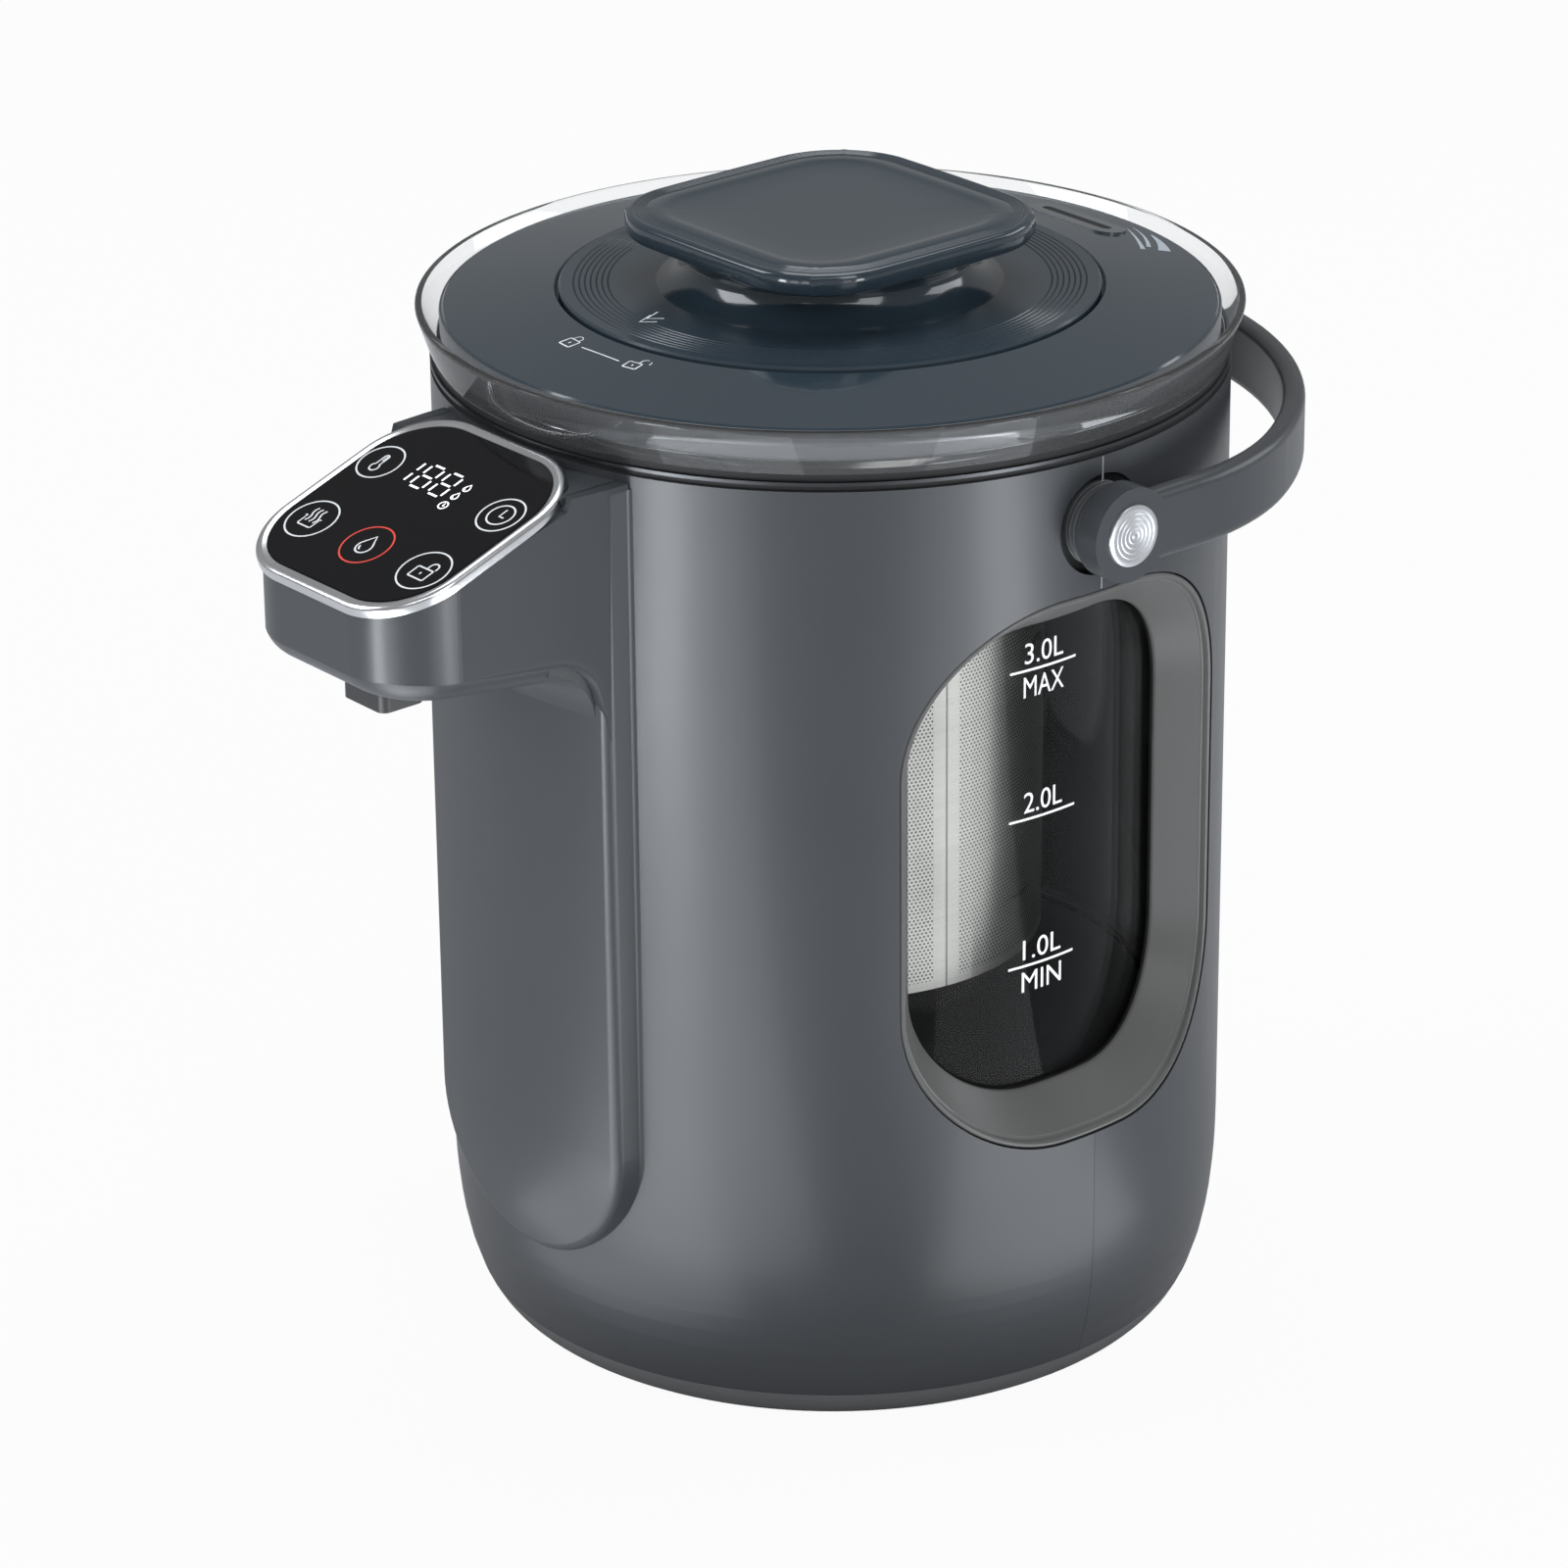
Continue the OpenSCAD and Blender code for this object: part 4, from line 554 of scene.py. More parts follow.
# by material slot
finishes = {
    "body_plastic": skinFinish("satinGrey", **bodySkin),
    "lid_plastic": skinFinish("glossSlate", slateColor, 0.13, coat=0.3, coatRough=0.03, **slateSkin),
    "base_plastic": skinFinish("footCharcoal", (0.12, 0.121, 0.124), 0.45, grain=1300.0, spread=0.08),
    "inner_plastic": skinFinish("innerBlack", (0.02, 0.021, 0.023), 0.5, grain=1100.0, mottle=0.08,
                                spread=0.08),
    "clear_glass": glassFinish("jarGlass", clearTint, 1.16),
    "panel_glass": skinFinish("blackGlass", (0.004, 0.004, 0.005), 0.1, grain=500.0, spread=0.04,
                              depth=0.000004, specular=0.2, strength=0.05),
    "bright_trim": brushFinish("satinChrome", (0.78, 0.79, 0.81), 0.2, evenStretch, streak=0.06),
    "turned_metal": ringFinish("turnedSteel", (0.66, 0.67, 0.69), 0.34, turned),
    "sheet_steel": brushFinish("rolledSteel", (0.7, 0.7, 0.69), 0.3, (30.0, 30.0, 900.0)),
    "silicone": skinFinish("blackSilicone", (0.012, 0.012, 0.013), 0.6, grain=700.0, mottle=0.08, spread=0.1,
                           specular=0.3),
    "hose": skinFinish("milkyHose", (0.62, 0.63, 0.61), 0.4, grain=500.0, mottle=0.04, spread=0.1),
    "board": boardFinish(board),
    "dark_part": skinFinish("motorBlack", (0.03, 0.03, 0.032), 0.42, grain=1000.0, mottle=0.1, spread=0.1),
}
# by node, where a node differs from its slot
shellSkin = shellFinish("shellGreyShadedInside", bodySkin, shellInsideShade)
# the handle's pivot bosses: the body's grey made lighter, painted light that lifts them out of their shade
bossLightenedSkin = skinFinish("bossGreyPaintedLight", (0.08, 0.083, 0.088), 0.42, grain=1300.0)
nodeFinishes = {
    "front_shell": shellSkin,
    "rear_shell": shellSkin,
    "handle_boss_right": bossLightenedSkin,
    "handle_boss_left": bossLightenedSkin,
    "infuser_basket": strainerFinish(strainer),
    "heater_plate": skinFinish("darkPlate", (0.014, 0.014, 0.015), 0.5, grain=700.0, mottle=0.06, spread=0.08,
                               specular=0.25, strength=0.02),
    "steam_vent_trim": skinFinish("ventSlate", (0.06, 0.07, 0.08), 0.22, coat=0.4, specular=0.6, **slateSkin),
    "cap_disc": skinFinish("discSlate", slateColor, 0.24, coat=0.1, coatRough=0.1, **slateSkin),
    "trim_ring": brushFinish("darkTrim", (0.07, 0.072, 0.076), 0.34, evenStretch, streak=0.06),
}
# by new piece
pieceFinishes = {
    "windowFrame": skinFinish("frameGrey", (0.094, 0.0925, 0.09), 0.42, grain=1500.0, mottle=0.03,
                              spread=0.05),
    "lip": glassFinish("lipGlass", clearTint, 1.47),
    "lipFace": glassFinish("lipFace", (0.93, 0.95, 0.97), 1.25, clearShare=0.95),
    "skirt": skinFinish("skirtGrey", (0.048, 0.051, 0.056), 0.36, grain=1300.0, mottle=0.03, spread=0.05,
                        depth=0.00001, coat=0.3, coatRough=0.15),
    "fairing": skinFinish("fairingGrey", bodySkin["color"], 0.4, grain=1500.0, mottle=0.03, spread=0.05,
                          specular=0.18),
}
prints = {
    # white print with a faint glow; on the lid's prints the glow is painted light, not a lamp
    "white": glowFinish("printWhiteGlow", (0.7, 0.71, 0.73), 0.12),
    "lit": glowFinish("litWhite", (0.95, 0.96, 0.97), 0.9, mottle=0.03),
    "red": glowFinish("printRed", (0.62, 0.045, 0.03), 0.25),
    "pale": skinFinish("printPale", (0.36, 0.4, 0.44), 0.5),
    "mark": skinFinish("markWhite", (0.8, 0.8, 0.8), 0.55),
    # light grey of the parting line: a painted highlight along the seam
    "line": skinFinish("partingHighlight", (0.3, 0.31, 0.32), 0.4),
}

for name, obj in nodes.items():
    slotName = obj.data.materials[0].name.split(".")[0]
    obj.data.materials.clear()
    obj.data.materials.append(nodeFinishes.get(name) or finishes[slotName])
print("dispenser: finishes set on the frame")

# making pieces
mergeWithin = 0.000001
straightFrom = 2.5  # an edge longer than this many steps of a corner is a straight side


def finishPiece(bm, name, body, mats, stands=(), sharp=35.0):
    bmesh.ops.remove_doubles(bm, verts=bm.verts, dist=mergeWithin)
    bmesh.ops.recalc_face_normals(bm, faces=bm.faces)
    mesh = bpy.data.meshes.new(name)
    for face in bm.faces:
        face.smooth = True
    bm.to_mesh(mesh)
    bm.free()
    mesh.set_sharp_from_angle(angle=math.radians(sharp))
    for mat in mats:
        mesh.materials.append(mat)
    obj = bpy.data.objects.new(name, mesh)
    scene.collection.objects.link(obj)
    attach(obj, body)
    if stands:
        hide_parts(*stands)
    return obj


def roundedLoop(bm, halfW, halfL, radius, segments, cuts=0):
    # outline of a rounded rectangle about the origin, without its face; cuts divides its straight sides
    mark = bm.verts.layers.int.get("ring") or bm.verts.layers.int.new("ring")
    corners = bmesh.ops.create_grid(bm, x_segments=1, y_segments=1, size=1)["verts"]
    bmesh.ops.scale(bm, vec=(halfW, halfL, 1), verts=corners)
    bmesh.ops.bevel(bm, geom=corners, offset=radius, offset_type="OFFSET", segments=segments, profile=0.5,
                    affect="VERTICES", material=-1)
    fresh = [v for v in bm.verts if v[mark] == 0]
    bmesh.ops.delete(bm, geom=list({f for v in fresh for f in v.link_faces}), context="FACES_ONLY")
    if cuts:
        step = straightFrom * radius * math.pi / 2 / segments
        sides = [e for e in bm.edges if e.verts[0][mark] == 0 and e.calc_length() > step]
        bmesh.ops.subdivide_edges(bm, edges=sides, cuts=cuts)
    fresh = [v for v in bm.verts if v[mark] == 0]
    tag = 1 + max(v[mark] for v in bm.verts)
    for v in fresh:
        v[mark] = tag
    return fresh


def joinRings(bm, count, closed):
    # skins between each ring and the next; returns the new faces of each step
    mark = bm.verts.layers.int.get("ring")
    edges = [[e for e in bm.edges if e.verts[0][mark] == k and e.verts[1][mark] == k]
             for k in range(1, count + 1)]
    pairs = list(zip(edges, edges[1:])) + ([(edges[-1], edges[0])] if closed else [])
    return [bmesh.ops.bridge_loops(bm, edges=a + b)["faces"] for a, b in pairs]


def turnProfile(bm, points, turns):
    # spins a row of (radius, height) points, in mm, about Z
    row = [bmesh.ops.create_vert(bm, co=(points[0][0] * mm, 0, points[0][1] * mm))["vert"][0]]
    for radius, height in points[1:]:
        grown = bmesh.ops.extrude_vert_indiv(bm, verts=[row[-1]])["verts"][0]
        grown.co = (radius * mm, 0, height * mm)
        row.append(grown)
    line = list({e for v in row for e in v.link_edges})
    bmesh.ops.spin(bm, geom=row + line, cent=(0, 0, 0), axis=(0, 0, 1), angle=2 * math.pi, steps=turns,
                   use_merge=True)


def fillEnds(bm):
    bmesh.ops.holes_fill(bm, edges=[e for e in bm.edges if e.is_boundary], sides=0)


# bezel round the touch panel
panel = {"at": (0, -138.7 * mm, 255.4 * mm), "tilt": 20.0}
panelPlace = Matrix.Translation(panel["at"]) @ Matrix.Rotation(math.radians(panel["tilt"]), 4, "X")
bezel = {"halfW": 35.6, "halfL": 34.6, "corner": 21.0, "band": 2.7, "endBand": 3.45, "cornerSteps": 20,
         "section": [(0.0, -2.75), (0.0, -1.15), (0.12, -0.6), (0.42, -0.12), (0.85, 0.18), (1.35, 0.29),
                     (1.8, 0.22), (2.15, 0.02), (2.45, -0.08), (2.64, -0.14), (2.7, -0.3), (2.7, -1.7)]}


def makeBezel(b):
    bm = bmesh.new()
    for inset, height in b["section"]:
        endInset = inset * b["endBand"] / b["band"]
        ring = roundedLoop(bm, (b["halfW"] - inset) * mm, (b["halfL"] - endInset) * mm,
                           (b["corner"] - inset) * mm, b["cornerSteps"])
        bmesh.ops.translate(bm, vec=(0, 0, height * mm), verts=ring)
    joinRings(bm, len(b["section"]), True)
    bmesh.ops.transform(bm, matrix=panelPlace, verts=bm.verts)
    mats = [finishes["bright_trim"]]
    return finishPiece(bm, "panelBezel", "root", mats, ["panel_bezel"], 50.0)


makeBezel(bezel)
print("dispenser: bezel made")

# frames of the two windows: rounded outlines laid on the body's curve
window = {"halfW": 54.5, "low": 76.0, "high": 229.4, "corner": 44.0, "cornerSteps": 24, "endSteps": 8,
          "section": [(-3.5, 98.9), (-3.5, 100.8), (0.35, 100.8), (0.35, 104.1), (0.5, 104.55), (0.85, 104.8),
                      (1.3, 104.78), (1.7, 104.4), (1.95, 103.7), (2.15, 102.9), (2.5, 102.55),
                      (2.95, 102.45), (10.6, 91.75), (11.05, 91.2), (11.35, 90.75), (11.5, 90.2),
                      (11.5, 89.3), (8.0, 92.6), (2.0, 98.9)],
          "darkSteps": (15, 16, 17)}


def makeWindowFrame(w, side):
    bm = bmesh.new()
    middle = (w["low"] + w["high"]) / 2
    halfTall = (w["high"] - w["low"]) / 2
    for inset, radius in w["section"]:
        ring = roundedLoop(bm, (w["halfW"] - inset) * mm, (halfTall - inset) * mm, (w["corner"] - inset) * mm,
                           w["cornerSteps"], w["endSteps"])
        for v in ring:
            across, up = v.co.x, v.co.y
            v.co = (side * math.sqrt((radius * mm) ** 2 - across ** 2), across, middle * mm + up)
    steps = joinRings(bm, len(w["section"]), True)
    for k in w["darkSteps"]:
        for face in steps[k]:
            face.material_index = 1
    right, left = ("windowFrameRight", "window_frame_right"), ("windowFrameLeft", "window_frame_left")
    name, node = right if side > 0 else left
    mats = [pieceFinishes["windowFrame"], finishes["silicone"]]
    return finishPiece(bm, name, "root", mats, [node], 40.0)


for side in (1, -1):
    makeWindowFrame(window, side)
print("dispenser: window frames made")

# fairings that lead each side of the head out to the wider column
fairing = {"headX": 34.03, "columnX": 37.62, "inside": 33.7, "front": -149.0, "flareEnd": -104.5,
           "back": -98.6, "columnFace": -107.6, "deck": 263.5, "deckFrom": -116.4, "deckThick": 1.7,
           "edgeAt": (-150.1, 248.2), "underAt": 217.1, "underSlope": 0.1315, "neckRadius": 13.0,
           "tail": 18.0, "edgeRadius": 2.6, "lengthSteps": 44, "heightSteps": 24}


def fairingTop(f, y):
    # runs up along the tilted panel's edge and then level along the deck
    if y > f["deckFrom"]:
        return f["deck"]
    return f["edgeAt"][1] + (y - f["edgeAt"][0]) * math.tan(math.radians(panel["tilt"]))


def fairingLow(f, y):
    # follows the head's underside, bends down the column in a tail, and ends just under the deck
    if y > f["flareEnd"]:
        return f["deck"] - f["deckThick"]
    low = f["underAt"] - (y - f["columnFace"]) * f["underSlope"]
    bend = f["columnFace"] - f["neckRadius"]
    if y > bend:
        turn = min(y - bend, f["neckRadius"])
        low -= f["neckRadius"] - math.sqrt(f["neckRadius"] ** 2 - turn ** 2)
    if y > f["columnFace"]:
        low -= f["tail"] * ((y - f["columnFace"]) / (f["flareEnd"] - f["columnFace"])) ** 2
    return low


def fairingPoint(f, along, rise):
    # a point of the skin: along runs from the head's front to the body, rise from the under edge to the top
    y = f["front"] + (f["back"] - f["front"]) * along
    share = min(1.0, (y - f["front"]) / (f["flareEnd"] - f["front"]))
    x = f["headX"] + (f["columnX"] - f["headX"]) * share
    low = fairingLow(f, y)
    z = low + (fairingTop(f, y) - low) * rise * rise
    radius = min(f["edgeRadius"], x - f["inside"])
    deep = radius - min(z - low, radius)
    if y < f["columnFace"]:
        x -= radius - math.sqrt(radius ** 2 - deep ** 2)
    return x, y, z


def makeFairing(f, side):
    bm = bmesh.new()
    bmesh.ops.create_grid(bm, x_segments=f["lengthSteps"], y_segments=f["heightSteps"], size=0.5)
    for v in bm.verts:
        x, y, z = fairingPoint(f, v.co.x + 0.5, v.co.y + 0.5)
        v.co = (side * x * mm, y * mm, z * mm)
    grown = bmesh.ops.extrude_face_region(bm, geom=list(bm.faces))["geom"]
    for v in grown:
        if isinstance(v, bmesh.types.BMVert):
            v.co.x = side * f["inside"] * mm
    name = "headFairingRight" if side > 0 else "headFairingLeft"
    return finishPiece(bm, name, "root", [pieceFinishes["fairing"]], (), 50.0)


for side in (1, -1):
    makeFairing(fairing, side)
print("dispenser: head fairings made")

# a dark sheet across the bottom of the steam vent's slot, which lies on the lid's slope: painted shade
# standing for the slot's unlit depth
lidSlope = 7.57
ventSlotShade = {"at": (0, 87.65, 283.02), "halfW": 12.95, "halfL": 1.55, "corner": 1.5, "steps": 8, "thick": 0.3}


def makeVentSlotShade(s):
    bm = bmesh.new()
    for height in (-s["thick"], 0.0):
        ring = roundedLoop(bm, s["halfW"] * mm, s["halfL"] * mm, s["corner"] * mm, s["steps"])
        bmesh.ops.translate(bm, vec=(0, 0, height * mm), verts=ring)
    joinRings(bm, 2, False)
    fillEnds(bm)
    place = Matrix.Translation(Vector(s["at"]) * mm) @ Matrix.Rotation(math.radians(-lidSlope), 4, "X")
    bmesh.ops.transform(bm, matrix=place, verts=bm.verts)
    # the black sheet is painted shade in the slot
    return finishPiece(bm, "ventSlotShade", "root", [finishes["silicone"]])


makeVentSlotShade(ventSlotShade)
print("dispenser: vent slot made")

# knob of the twist cap: a turned neck under a rounded square plate; no two neighbouring rings share a height
knob = {"half": 45.0, "corner": 24.0, "cornerFall": 0.85, "leastCorner": 3.0, "cornerShare": 0.7,
        "top": 304.5, "cornerSteps": 20, "sideSteps": 10, "bulge": 0.9,
        "under": [(16.0, 297.9), (6.0, 298.0), (3.2, 298.1), (1.3, 298.35), (0.5, 298.8), (0.12, 299.5)],
        "edge": [(0.0, 303.0), (0.14, 303.65), (0.5, 304.15), (1.3, 304.42)],
        "grooves": [2.35, 3.3, 4.1, 4.9], "grooveHalf": 0.22, "grooveDeep": 0.2, "grooveFall": 0.03,
        "dish": [(9.0, 304.5), (9.7, 304.42), (10.5, 304.2), (12.5, 303.98), (20.0, 303.75), (32.0, 303.62)],
        "neck": [(45.5, 286.02), (43.6, 286.3), (41.4, 287.1), (39.2, 288.6), (37.6, 290.6), (36.7, 292.6),
                 (36.9, 294.6), (38.2, 296.4), (40.4, 297.6), (42.5, 298.05)], "turns": 96}


def bulgedLoop(bm, k, inset, height):
    # a rounded square whose sides bow out a little from corner to corner
    half = (k["half"] - inset) * mm
    corner = max(k["corner"] - inset * k["cornerFall"], k["leastCorner"]) * mm
    corner = min(corner, half * k["cornerShare"])
    bow = k["bulge"] * mm * (1 - inset / k["half"])
    for v in roundedLoop(bm, half, half, corner, k["cornerSteps"], k["sideSteps"]):
        if abs(v.co.x) > abs(v.co.y):
            v.co.x -= math.copysign(bow, v.co.x) * min(1.0, abs(v.co.y) / half) ** 2
        if abs(v.co.y) > abs(v.co.x):
            v.co.y -= math.copysign(bow, v.co.y) * min(1.0, abs(v.co.x) / half) ** 2
        v.co.z = height * mm


def makeKnob(k):
    bm = bmesh.new()
    loops = k["under"] + k["edge"]
    top, wide = k["top"], k["grooveHalf"]
    for inset in k["grooves"]:
        loops += [(inset - wide, top), (inset, top - k["grooveDeep"]), (inset + wide, top - k["grooveFall"])]
    loops += k["dish"]
    for inset, height in loops:
        bulgedLoop(bm, k, inset, height)
    joinRings(bm, len(loops), False)
    fillEnds(bm)
    turnProfile(bm, k["neck"], k["turns"])
    return finishPiece(bm, "capKnob", "cap", [finishes["lid_plastic"]], ["cap_knob"], 50.0)


makeKnob(knob)
print("dispenser: knob made")

# jar with a thin flared lip round the lid; the profile runs up the outside and down the inside
jar = {"inside": 86.5, "outside": 88.8, "turns": 144, "lipFrom": 262.0,
       "profile": [(88.8, 258.0), (89.5, 261.5), (91.5, 264.6), (94.2, 267.6), (96.5, 270.0), (104.6, 270.0),
                   (105.4, 272.2), (108.35, 281.0), (108.5, 281.5), (108.4, 281.95), (108.05, 282.25),
                   (107.5, 282.3), (106.7, 282.2), (106.3, 281.8), (103.6, 274.4), (103.1, 273.5),
                   (102.2, 273.0), (92.5, 273.0), (90.2, 268.6), (87.2, 264.0), (86.5, 259.0)],
       "flareFrom": 270.1, "flareRadius": 103.9, "flareSlope": 0.35}


def makeJar(j):
    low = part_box("glass_jar")[0][2] / mm
    bm = bmesh.new()
    points = [(j["inside"], low), (j["outside"], low), *j["profile"], (j["inside"], low)]
    turnProfile(bm, points, j["turns"])
    for face in bm.faces:
        middle = face.calc_center_median() / mm
        rise = middle.z - j["flareFrom"]
        face.material_index = int(middle.z > j["lipFrom"])
        if rise > 0 and middle.xy.length > j["flareRadius"] + rise * j["flareSlope"]:
            face.material_index = 2
    mats = [finishes["clear_glass"], pieceFinishes["lip"], pieceFinishes["lipFace"]]
    return finishPiece(bm, "glassJar", "root", mats, ["glass_jar"], 30.0)


makeJar(jar)
print("dispenser: jar made")

# skirt of the lid ring, which shows through the clear lip
skirt = {"profile": [(101.72, 273.05), (102.15, 273.05), (102.3, 279.9), (102.1, 280.4), (101.72, 280.5),
                     (101.72, 273.05)], "turns": 128}


def makeSkirt(k):
    bm = bmesh.new()
    turnProfile(bm, k["profile"], k["turns"])
    return finishPiece(bm, "lidSkirt", "root", [pieceFinishes["skirt"]], (), 30.0)


makeSkirt(skirt)
print("dispenser: lid skirt made")

# end caps of the handle's pivots; the points of a groove go out and down, those of the rim in and down
endCap = {"face": 117.05, "back": 115.9, "radius": 8.2, "middle": 0.35, "rings": 5, "firstRing": 0.7,
          "pitch": 1.32, "groove": [(0.0, 0.12), (0.45, 0.108), (0.75, 0.02), (1.1, 0.0)],
          "rim": [(0.7, 0.05), (0.21, 0.21), (0.0, 0.7)], "turns": 64}


def makeEndCap(c, side):
    bm = bmesh.new()
    tall = c["face"] - c["back"]
    points = [(0.0, tall), (c["middle"], tall)]
    for k in range(c["rings"]):
        start = c["firstRing"] + k * c["pitch"]
        points += [(start + out, tall - down) for out, down in c["groove"]]
    points += [(c["radius"] - inward, tall - down) for inward, down in c["rim"]]
    points += [(c["radius"], 0.0), (0.0, 0.0)]
    turnProfile(bm, points, c["turns"])
    place = Matrix.Translation((side * c["back"] * mm, 0, pivotHeight * mm))
    bmesh.ops.transform(bm, matrix=place @ Matrix.Rotation(side * math.pi / 2, 4, "Y"), verts=bm.verts)
    name, node = ("endCapRight", "handle_cap_right") if side > 0 else ("endCapLeft", "handle_cap_left")
    return finishPiece(bm, name, "handle", [finishes["turned_metal"]], [node], 30.0)


for side in (1, -1):
    makeEndCap(endCap, side)
print("dispenser: end caps made")


# printed signs: rows of points in mm, each open or closed
def arcPoints(cx, cy, radius, start, end, count):
    angles = [math.radians(start + (end - start) * k / count) for k in range(count + 1)]
    return [(cx + radius * math.cos(a), cy + radius * math.sin(a)) for a in angles]


def circlePath(cx, cy, radius, count=40):
    return [(arcPoints(cx, cy, radius, 0, 360 - 360 / count, count - 1), True)]


def boxPath(x0, y0, x1, y1, corner, count=4):
    left, right, low, high = x0 + corner, x1 - corner, y0 + corner, y1 - corner
    outline = []
    for k, (x, y) in enumerate(((right, high), (left, high), (left, low), (right, low))):
        outline += arcPoints(x, y, corner, 90 * k, 90 * k + 90, count)
    return [(outline, True)]


def wavePath(x, low, high, swing, count=10):
    shares = [k / count for k in range(count + 1)]
    return [([(x + swing * math.sin(2 * math.pi * t), low + (high - low) * t) for t in shares], False)]


def thermometerSign():
    half, bulb, bulbAt, top = 0.75, 1.42, -2.2, 2.15
    meet = math.degrees(math.asin(half / bulb))
    outline = arcPoints(0, bulbAt, bulb, 90 + meet, 450 - meet, 24) + arcPoints(0, top, half, 0, 180, 10)
    return [(outline, True)] + [([(-0.1, y), (half, y)], False) for y in (2.2, 1.5, 0.8)]


def clockSign():
    return circlePath(0, 0, 3.8) + [([(0, 2.3), (0, -0.6), (1.7, -0.6)], False)]


def cupSign():
    half, rim, low, high, corner = 2.6, 3.2, -3.0, 0.6, 0.4
    right = [(half - corner, low), (half, low + corner), (half, high), (rim, high)]
    cup = [(-x, y) for x, y in reversed(right)] + right
    return [(cup, False)] + [path for x in (-1.6, 0.0, 1.6) for path in wavePath(x, -1.2, 4.0, 0.45)]


def dropSign():
    tip, radius, middle = 3.6, 2.4, -0.9
    meet = math.degrees(math.acos(radius / (tip - middle)))
    outline = [(0, tip)] + arcPoints(0, middle, radius, 90 + meet, 450 - meet, 28)
    return [(outline, True), (arcPoints(0, middle, 1.4, 180, 250, 8), False)]


def padlockSign(half, low, high, bow, bowAt, bowRise, openEnd):
    # the bow's right end stands openEnd above the case, and on it where openEnd is 0
    corner, keyHalf = 0.4, 0.4
    left, right, top, middle = bowAt - bow, bowAt + bow, high + bowRise, (low + high) / 2
    shackle = [(left, high), (left, top)] + arcPoints(bowAt, top, bow, 180, 0, 12) + [(right, high + openEnd)]
    keyhole = [(0, middle - keyHalf), (0, middle + keyHalf)]
    return boxPath(-half, low, half, high, corner) + [(shackle, False), (keyhole, False)]


def digitPaths(x, wide, low, tall, gap, lit):
    # strokes of one seven-segment figure: lit names its segments from a to g
    right, mid, top = x + wide, low + tall / 2, low + tall
    rows = {"a": ((x, top), (right, top)), "b": ((right, mid), (right, top)),
            "c": ((right, low), (right, mid)), "d": ((x, low), (right, low)), "e": ((x, low), (x, mid)),
            "f": ((x, mid), (x, top)), "g": ((x, mid), (right, mid))}
    paths = []
    for name in lit:
        (x0, y0), (x1, y1) = rows[name]
        length = math.hypot(x1 - x0, y1 - y0)
        dx, dy = (x1 - x0) / length * gap, (y1 - y0) / length * gap
        paths.append(([(x0 + dx, y0 + dy), (x1 - dx, y1 - dy)], False))
    return paths


def movedPaths(paths, at, scale=1.0, turn=0.0):
    c, n = math.cos(turn) * scale, math.sin(turn) * scale
    return [([(at[0] + c * x - n * y, at[1] + n * x + c * y) for x, y in points], closed)
            for points, closed in paths]


def curvePart(curve):
    # turns a curve or text into a bmesh and removes it
    obj = bpy.data.objects.new("outline", curve)
    mesh = bpy.data.meshes.new_from_object(obj)
    bpy.data.objects.remove(obj)
    bpy.data.curves.remove(curve)
    part = bmesh.new()
    part.from_mesh(mesh)
    bpy.data.meshes.remove(mesh)
    return part


def addPart(bm, part):
    mesh = bpy.data.meshes.new("outline")
    part.to_mesh(mesh)
    part.free()
    bm.from_mesh(mesh)
    bpy.data.meshes.remove(mesh)


def strokeMesh(bm, paths, width, thick, taper=0.0):
    # adds flat strokes in the XY plane to bm; taper narrows their first ends
    curve = bpy.data.curves.new("strokes", "CURVE")
    curve.dimensions = "3D"
    curve.bevel_depth = width / 2 * mm
    curve.bevel_resolution = 1
    curve.use_fill_caps = True
    for points, closed in paths:
        spline = curve.splines.new("POLY")
        spline.points.add(len(points) - 1)
        for k, (x, y) in enumerate(points):
            spline.points[k].co = (x * mm, y * mm, 0, 1)
            spline.points[k].radius = 1 - taper * (1 - k / (len(points) - 1))
        spline.use_cyclic_u = closed
    part = curvePart(curve)
    bmesh.ops.scale(part, vec=(1, 1, thick / width), verts=part.verts)
    addPart(bm, part)


signs = {"width": 0.5, "smallWidth": 0.4, "segmentWidth": 0.66, "thick": 0.05, "lift": 0.012,
         "keys": [(thermometerSign(), (-25.5, 11.0), 6.5), (clockSign(), (24.5, 10.7), 6.5),
                  (cupSign(), (-23.0, -14.3), 7.3),
                  (padlockSign(2.9, -3.2, 0.8, 1.4, 1.7, 1.2, 0.4), (24.0, -14.7), 7.3)],
         "drop": (0.5, -14.7), "dropRing": 7.3,
         "figures": [(-18.0, "bc"), (-10.3, "abcdefg"), (-2.7, "abcdefg")],
         "figure": {"wide": 5.0, "low": 8.0, "tall": 9.0, "gap": 0.75},
         "small": [(dropSign(), (6.7, 14.3), 0.4), (dropSign(), (6.3, 10.5), 0.4),
                   (clockSign(), (6.3, 6.3), 0.36)]}


def makePanelPrint(name, finish, groups):
    # groups holds rows of strokes, each with its width
    bm = bmesh.new()
    for paths, width in groups:
        strokeMesh(bm, paths, width, signs["thick"])
    bmesh.ops.translate(bm, vec=(0, 0, signs["lift"] * mm), verts=bm.verts)
    bmesh.ops.transform(bm, matrix=panelPlace, verts=bm.verts)
    finishPiece(bm, name, "root", [prints[finish]])


def makePanelSigns(g):
    keys = movedPaths(dropSign(), g["drop"])
    for sign, at, ring in g["keys"]:
        keys += movedPaths(sign, at) + circlePath(*at, ring)
    figures = [path for x, lit in g["figures"] for path in digitPaths(x, lit=lit, **g["figure"])]
    small = [path for sign, at, scale in g["small"] for path in movedPaths(sign, at, scale)]
    makePanelPrint("panelSigns", "white", [(keys, g["width"])])
    makePanelPrint("panelFigures", "lit", [(figures, g["segmentWidth"]), (small, g["smallWidth"])])
    makePanelPrint("panelRedRing", "red", [(circlePath(*g["drop"], g["dropRing"]), g["width"])])


makePanelSigns(signs)
print("dispenser: panel signs made")

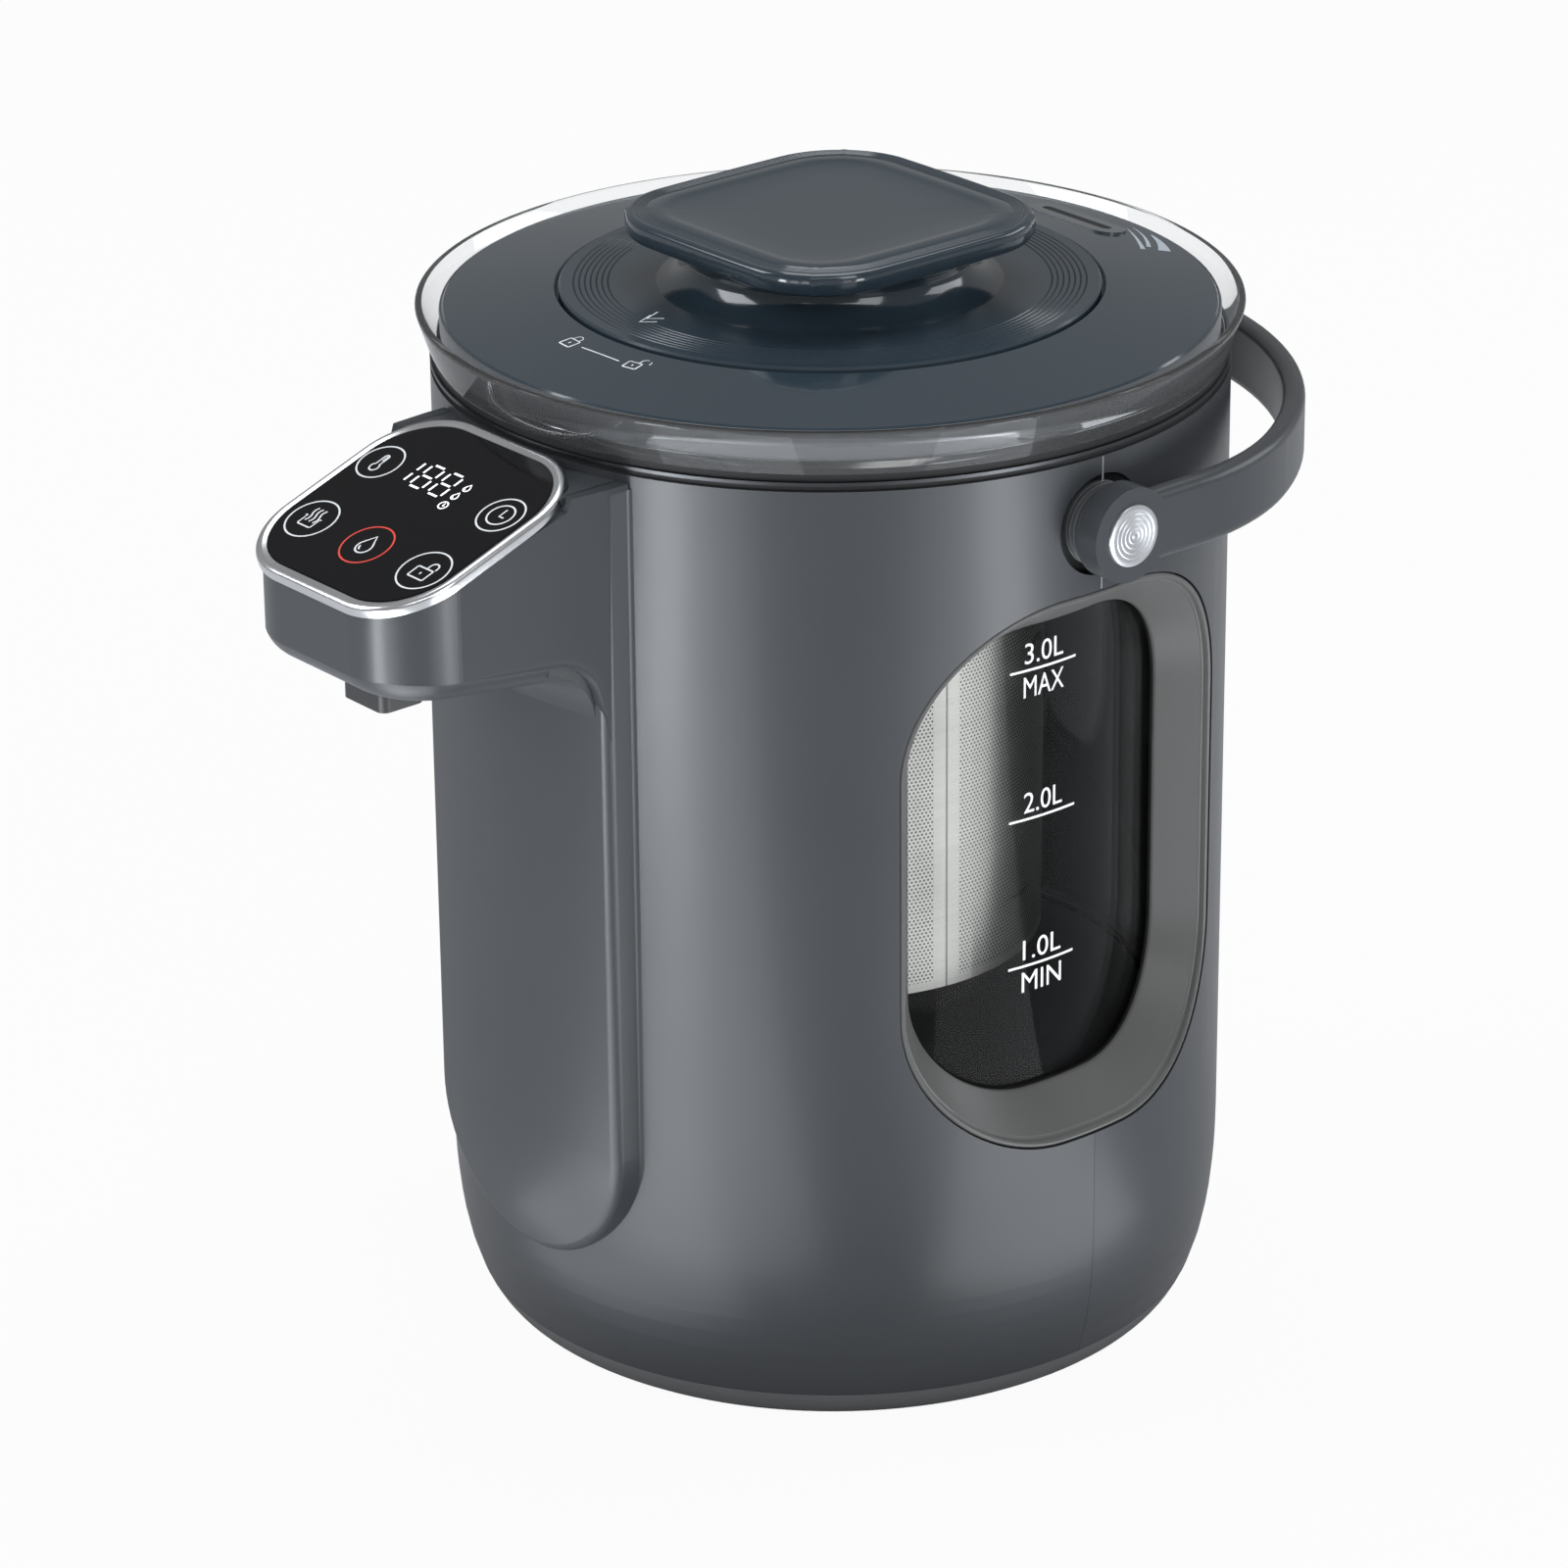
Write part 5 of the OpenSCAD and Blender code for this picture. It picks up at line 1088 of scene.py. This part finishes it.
# litre marks on the jar
marks = {"radius": 88.82, "angle": -2.8, "lineLong": 21.8, "lineWidth": 0.7, "lineSteps": 12, "thick": 0.05,
         "capTall": 5.7, "numberWide": 12.7, "wordWide": 13.3, "numberUp": 1.7, "wordDown": 7.5,
         "rows": [(204.8, "3.0L", "MAX"), (163.3, "2.0L", ""), (121.6, "1.0L", "MIN")]}


def textMesh(bm, words, wide, tall, at, thick):
    # adds words, wide and tall in mm, centred on at[0] and standing on at[1]
    curve = bpy.data.curves.new("words", "FONT")
    curve.body = words
    curve.resolution_u = 4
    curve.extrude = 0.02
    part = curvePart(curve)
    low = [min(v.co[k] for v in part.verts) for k in range(3)]
    high = [max(v.co[k] for v in part.verts) for k in range(3)]
    sizes = [size * mm / (high[k] - low[k]) for k, size in enumerate((wide, tall, thick))]
    bmesh.ops.translate(part, vec=(-(low[0] + high[0]) / 2, -low[1], 0), verts=part.verts)
    bmesh.ops.scale(part, vec=sizes, verts=part.verts)
    bmesh.ops.translate(part, vec=(at[0] * mm, at[1] * mm, 0), verts=part.verts)
    addPart(bm, part)


def makeMarks(m):
    bm = bmesh.new()
    shares = [k / m["lineSteps"] - 0.5 for k in range(m["lineSteps"] + 1)]
    for height, amount, word in m["rows"]:
        line = [(m["lineLong"] * t, height) for t in shares]
        strokeMesh(bm, [(line, False)], m["lineWidth"], m["thick"])
        textMesh(bm, amount, m["numberWide"], m["capTall"], (0, height + m["numberUp"]), m["thick"])
        if word:
            textMesh(bm, word, m["wordWide"], m["capTall"], (0, height - m["wordDown"]), m["thick"])
    middle = math.radians(m["angle"])
    for v in bm.verts:
        angle, radius = middle + v.co.x / (m["radius"] * mm), m["radius"] * mm + v.co.z
        v.co = (radius * math.cos(angle), radius * math.sin(angle), v.co.y)
    finishPiece(bm, "jarMarks", "root", [prints["mark"]])


makeMarks(marks)
print("dispenser: litre marks made")

# prints on the lid: two padlocks joined by a line, a double arrow on the cap, and steam by the vent
lid = {"edgeRadius": 71.6, "edgeHeight": 285.0, "width": 0.45, "thick": 0.06, "lift": 0.02, "steps": 10,
       "locks": [(padlockSign(2.2, -1.85, 1.85, 1.3, 0.0, 0.8, 0.0), (-9.5, -79.2)),
                 (padlockSign(2.1, -1.6, 1.6, 1.5, 2.4, 0.9, 0.3), (14.65, -78.2))],
       "line": ((-4.4, -79.3), (10.1, -78.8)),
       "arrow": (-5.4, -59.6), "arrowArms": [(-2.1, 5.4), (0, 0), (2.9, 3.45)], "arrowStep": (-0.8, 3.0),
       "arrowHeight": 286.0,
       "steam": [((13.3, 93.9), (20.6, 90.6), (30.3, 83.7), 1.3),
                 ((12.9, 96.3), (21.0, 94.0), (29.2, 86.8), 1.2),
                 ((20.5, 96.0), (28.0, 93.2), (33.6, 88.4), 3.4)], "steamTaper": 0.8}
lidShares = [k / lid["steps"] for k in range(lid["steps"] + 1)]


def layOnLid(bm, d):
    for v in bm.verts:
        far = math.hypot(v.co.x, v.co.y) / mm
        fall = (far - d["edgeRadius"]) * math.tan(math.radians(lidSlope))
        v.co.z += (d["edgeHeight"] - fall + d["lift"]) * mm


def makeLocks(d):
    bm = bmesh.new()
    (x0, y0), (x1, y1) = d["line"]
    paths = [([(x0 + (x1 - x0) * t, y0 + (y1 - y0) * t) for t in lidShares], False)]
    for sign, at in d["locks"]:
        paths += movedPaths(sign, at, 1.0, math.atan2(at[0], -at[1]))
    strokeMesh(bm, paths, d["width"], d["thick"])
    layOnLid(bm, d)
    # the white print's glow on the lid is painted light
    finishPiece(bm, "lidPrints", "root", [prints["white"]])


def makeArrow(d):
    bm = bmesh.new()
    first = movedPaths([(d["arrowArms"], False)], d["arrow"])
    strokeMesh(bm, first + movedPaths(first, d["arrowStep"]), d["width"], d["thick"])
    bmesh.ops.translate(bm, vec=(0, 0, (d["arrowHeight"] + d["lift"]) * mm), verts=bm.verts)
    # the white print's glow on the cap is painted light
    finishPiece(bm, "capArrow", "cap", [prints["white"]])


def bendPoints(start, middle, end):
    # a curve from start to end that leans towards middle
    return [tuple((1 - t) ** 2 * a + 2 * t * (1 - t) * b + t ** 2 * c for a, b, c in zip(start, middle, end))
            for t in lidShares]


def makeSteam(d):
    bm = bmesh.new()
    for start, middle, end, width in d["steam"]:
        strokeMesh(bm, [(bendPoints(start, middle, end), False)], width, d["thick"], d["steamTaper"])
    layOnLid(bm, d)
    finishPiece(bm, "steamSign", "root", [prints["pale"]])


makeLocks(lid)
makeArrow(lid)
makeSteam(lid)
print("dispenser: lid prints made")

# parting line of the shells, above and below each pivot: a thin light grey strip, the painted highlight of
# the seam's bevel
parting = {"radius": 104.95, "deep": 0.2, "wide": 0.4, "rows": [(258.6, 265.3), (229.7, 234.5)]}


def makePartingLine(q):
    bm = bmesh.new()
    for low, high in q["rows"]:
        for side in (1, -1):
            cube = bmesh.ops.create_cube(bm, size=1)["verts"]
            bmesh.ops.scale(bm, vec=(q["deep"] * mm, q["wide"] * mm, (high - low) * mm), verts=cube)
            bmesh.ops.translate(bm, vec=(side * q["radius"] * mm, 0, (low + high) / 2 * mm), verts=cube)
    finishPiece(bm, "partingLine", "root", [prints["line"]])


makePartingLine(parting)
print("dispenser: parting line made")
